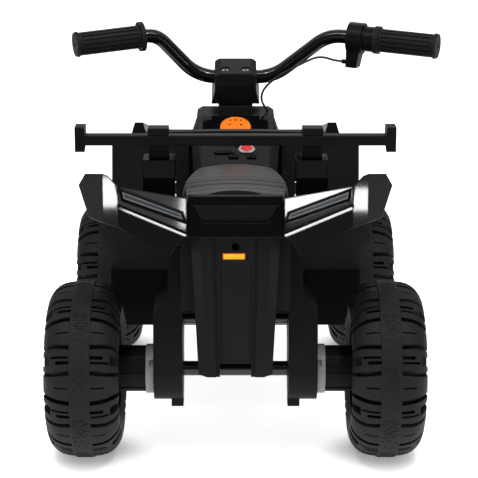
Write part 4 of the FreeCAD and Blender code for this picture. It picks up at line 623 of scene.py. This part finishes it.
# Each square of a patch: its column across the band and its row round it.
patch = ((-2, 0), (-1, 0), (0, 0), (1, 0), (-2, 1), (-1, 1), (1, 1), (2, 1), (-2, 2), (0, 2), (1, 2),
         (-1, 3), (0, 3), (2, 3), (-2, 4), (-1, 4), (1, 4), (2, 4), (-1, 5), (0, 5), (1, 5), (0, 6), (2, 6),
         (-2, 7), (-1, 7), (1, 7), (-2, 9), (0, 9), (2, 10), (-1, 12), (1, 13))


def raised_square(column, row):
    fresh_start()
    bpy.ops.mesh.primitive_cube_add(size=1, location=(column * square * MM, 0, square_radius * MM))
    block = bpy.context.object
    block.scale = (square_share * square * MM, square_share * square * MM, square_rise * MM)
    bpy.ops.object.transform_apply(location=True, scale=True)
    bpy.ops.object.mode_set(mode="EDIT")
    pick("FACE", lambda place: place.z > (square_radius + square_rise / 4) * MM)
    bpy.ops.transform.resize(value=(square_top_share, square_top_share, 1))
    bpy.ops.object.mode_set(mode="OBJECT")
    block.data.transform(Matrix.Rotation(row * square / square_radius, 4, "X"))
    return block


one_patch = joined([raised_square(column, row) for column, row in patch])
patches = joined([turned_copy(one_patch, 360 / repeats * count) for count in range(repeats)])
bpy.data.objects.remove(one_patch)
tyre = joined([tyre, band, patches])
bpy.ops.object.shade_smooth_by_angle(angle=radians(32))
print("finished tyre faces", len(tyre.data.polygons))

# %% [markdown]
# ### Four tyres in place
# All four tyres come from one mould. They could share one mesh, but each rides on its own wheel, so each
# copy has a mesh of its own, moved to the middle of the solid tyre that it stands for.

# %% Four tyres in place
tyre.data.materials.clear()
tyre.data.materials.append(waxy_pe)
for wheel in wheel_names:
    copy = turned_copy(tyre, 0)
    copy.name = wheel + "_treaded_tyre"
    copy.data.transform(Matrix.Translation(wheel_centre[wheel]))
    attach(copy, wheel + "_wheel")
    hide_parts(wheel + "_tyre")
bpy.data.objects.remove(tyre)
print("tyres placed", len(wheel_names))

# %% [markdown]
# ## Marks on the sound pad
# The orange pad carries small dark marks for back, pause, on, softer and louder. They could be painted
# in the material, but on the toy they are raised a little, so each is a thin block: a triangle, two
# bars, or a bar and a cross.

# %% Marks on the sound pad
pad = nodes["sound_pad"].data
up_faces = [face for face in pad.polygons if face.normal.z > 0.7 and face.normal.y < 0]
pad_up = sum((face.normal * face.area for face in up_faces), Vector()).normalized()
pad_level = max(vertex.co.dot(pad_up) for vertex in pad.vertices)
pad_low, pad_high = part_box("sound_pad")
pad_centre = (pad_low + pad_high) / 2
pad_centre += pad_up * (pad_level - pad_centre.dot(pad_up))
pad_side = Vector((1, 0, 0))
pad_place = Matrix((pad_side, pad_up.cross(pad_side), pad_up)).transposed().to_4x4()
pad_place.translation = pad_centre
mark_rise = 0.5
# Each mark: corners, place across and up the pad, width, height, and a triangle's turn in degrees.
mark_shapes = (
    (3, -8, 12, 4.4, 0, 90), (4, -1.2, 12.5, 1.3, 4.2, 0), (4, 1.2, 12.5, 1.3, 4.2, 0),
    (3, 8, 12, 4.4, 0, -90), (4, -9, 1, 4.2, 1.2, 0), (4, 9, 1, 4.2, 1.2, 0), (4, 9, 1, 1.2, 4.2, 0),
)
# Printed ink: matt dark brown, as black print looks on orange.
mark_ink = moulded("dark_print", "#3a1c08", "#4a260c", 0.5, 2.0, 0.02, 0.2)


def mark(corners, x_mm, y_mm, width_mm, height_mm, turn):
    fresh_start()
    if corners == 3:
        bpy.ops.mesh.primitive_circle_add(vertices=3, radius=width_mm / 2 * MM, fill_type="NGON",
                                          rotation=(0, 0, radians(turn)))
    else:
        bpy.ops.mesh.primitive_plane_add(size=1)
        bpy.context.object.scale = (width_mm * MM, height_mm * MM, 1)
    bpy.context.object.location = (x_mm * MM, y_mm * MM, 0)
    bpy.ops.object.transform_apply(location=True, rotation=True, scale=True)
    bpy.ops.object.mode_set(mode="EDIT")
    bpy.ops.mesh.select_all(action="SELECT")
    bpy.ops.mesh.extrude_region_move(TRANSFORM_OT_translate={"value": (0, 0, mark_rise * MM)})
    bpy.ops.mesh.select_all(action="SELECT")
    bpy.ops.mesh.normals_make_consistent(inside=False)
    bpy.ops.object.mode_set(mode="OBJECT")
    return bpy.context.object


pad_marks = joined([mark(*shape) for shape in mark_shapes])
pad_marks.name = "sound_pad_marks"
pad_marks.data.transform(pad_place)
pad_marks.data.materials.append(mark_ink)
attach(pad_marks, "chassis")
print("pad faces up along", [round(c, 3) for c in pad_up])

# %% [markdown]
# ## Plate on the tail
# A small yellow plate with a red rim sits on the tail cover over its raised strip. It stays bare: a thin
# block whose front is inset, so that the rim and the field are two faces of one piece.

# %% Plate on the tail
plate_centre = (-2, -388, 322.3)
plate_width, plate_height, plate_depth = 30, 9.4, 0.8
plate_rim, field_rise = 1.1, 0.2
# Printed vinyl, smooth with a faint satin.
yellow_vinyl = moulded("yellow_vinyl", "#f2b80f", "#f7c21c", 0.4, 2.5, 0.02, 0.2)
red_vinyl = moulded("red_vinyl", "#d8391c", "#e04424", 0.4, 2.5, 0.02, 0.2)
fresh_start()
bpy.ops.mesh.primitive_cube_add(size=1)
plate = bpy.context.object
plate.name = "tail_plate"
plate.scale = (plate_width * MM, 2 * plate_depth * MM, plate_height * MM)
plate.location = [c * MM for c in plate_centre]
bpy.ops.object.transform_apply(location=True, scale=True)
plate.data.materials.append(red_vinyl)
plate.data.materials.append(yellow_vinyl)
bpy.ops.object.mode_set(mode="EDIT")
pick("FACE", lambda place: place.y < (plate_centre[1] - plate_depth / 2) * MM)
bpy.ops.mesh.inset(thickness=plate_rim * MM)
plate.active_material_index = 1
bpy.ops.object.material_slot_assign()
bpy.ops.mesh.extrude_region_move(TRANSFORM_OT_translate={"value": (0, -field_rise * MM, 0)})
bpy.ops.object.mode_set(mode="OBJECT")
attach(plate, "chassis")
print("plate on the tail", plate_width, "x", plate_height, "mm")

# %% [markdown]
# ## Lamp rims
# A narrow raised rim runs round each tail lens and shows as a thin light line. Its lighter grey is a painted
# highlight for the light the edge catches. It could be a stripe in the lens's finish, but it is a raised
# edge on the moulding: a flat quad on the lens's four front corners, inset, opened in the middle and
# thickened.

# %% Lamp rims
rim_width, rim_rise, rim_sink = 1.5, 0.6, 0.2
# Rim polycarbonate: the same lens material, matt, with a lighter grey that is a painted highlight on the
# edge.
rim_highlight_lens = moulded("rim_polycarbonate_painted_highlight", "#5b5e61", "#6b6e71", 0.35, 3.0, 0.03, 0.3, 0.2)
# The plane's corners as inwards and up: inner low, inner high, outer high, outer low.
plane_corners = ((1, -1), (1, 1), (-1, 1), (-1, -1))


def lens_front(name):
    lens = nodes[name].data
    front = [face for face in lens.polygons if face.normal.y < -0.5]
    indices = {index for face in front for index in face.vertices}
    places = [lens.vertices[index].co.copy() for index in indices]
    places.sort(key=lambda place: abs(place.x))
    inner = sorted(places[:2], key=lambda place: place.z)
    outer = sorted(places[2:], key=lambda place: -place.z)
    return inner + outer, front[0].normal.copy()


def lamp_rim(name, side):
    corners, outward = lens_front(name)
    fresh_start()
    bpy.ops.mesh.primitive_plane_add(size=2 * MM)
    bpy.ops.object.mode_set(mode="EDIT")
    for (inwards, up), corner in zip(plane_corners, corners):
        start = Vector((-side * inwards, up, 0)) * MM
        pick("VERT", lambda place: (place - start).length < 0.1 * MM)
        bpy.ops.transform.translate(value=corner - outward * rim_sink * MM - start)
    bpy.ops.mesh.select_all(action="SELECT")
    bpy.ops.mesh.inset(thickness=rim_width * MM)
    bpy.ops.mesh.delete(type="FACE")
    bpy.ops.mesh.select_all(action="SELECT")
    bpy.ops.mesh.extrude_region_move(TRANSFORM_OT_translate={"value": outward * (rim_sink + rim_rise) * MM})
    bpy.ops.mesh.select_all(action="SELECT")
    bpy.ops.mesh.normals_make_consistent(inside=False)
    bpy.ops.object.mode_set(mode="OBJECT")
    return bpy.context.object


for side, name in ((-1, "left"), (1, "right")):
    rim = lamp_rim(name + "_tail_lamp", side)
    rim.name = name + "_lamp_rim"
    rim.data.materials.append(rim_highlight_lens)
    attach(rim, "chassis")
    print(rim.name, len(rim.data.polygons), "faces")
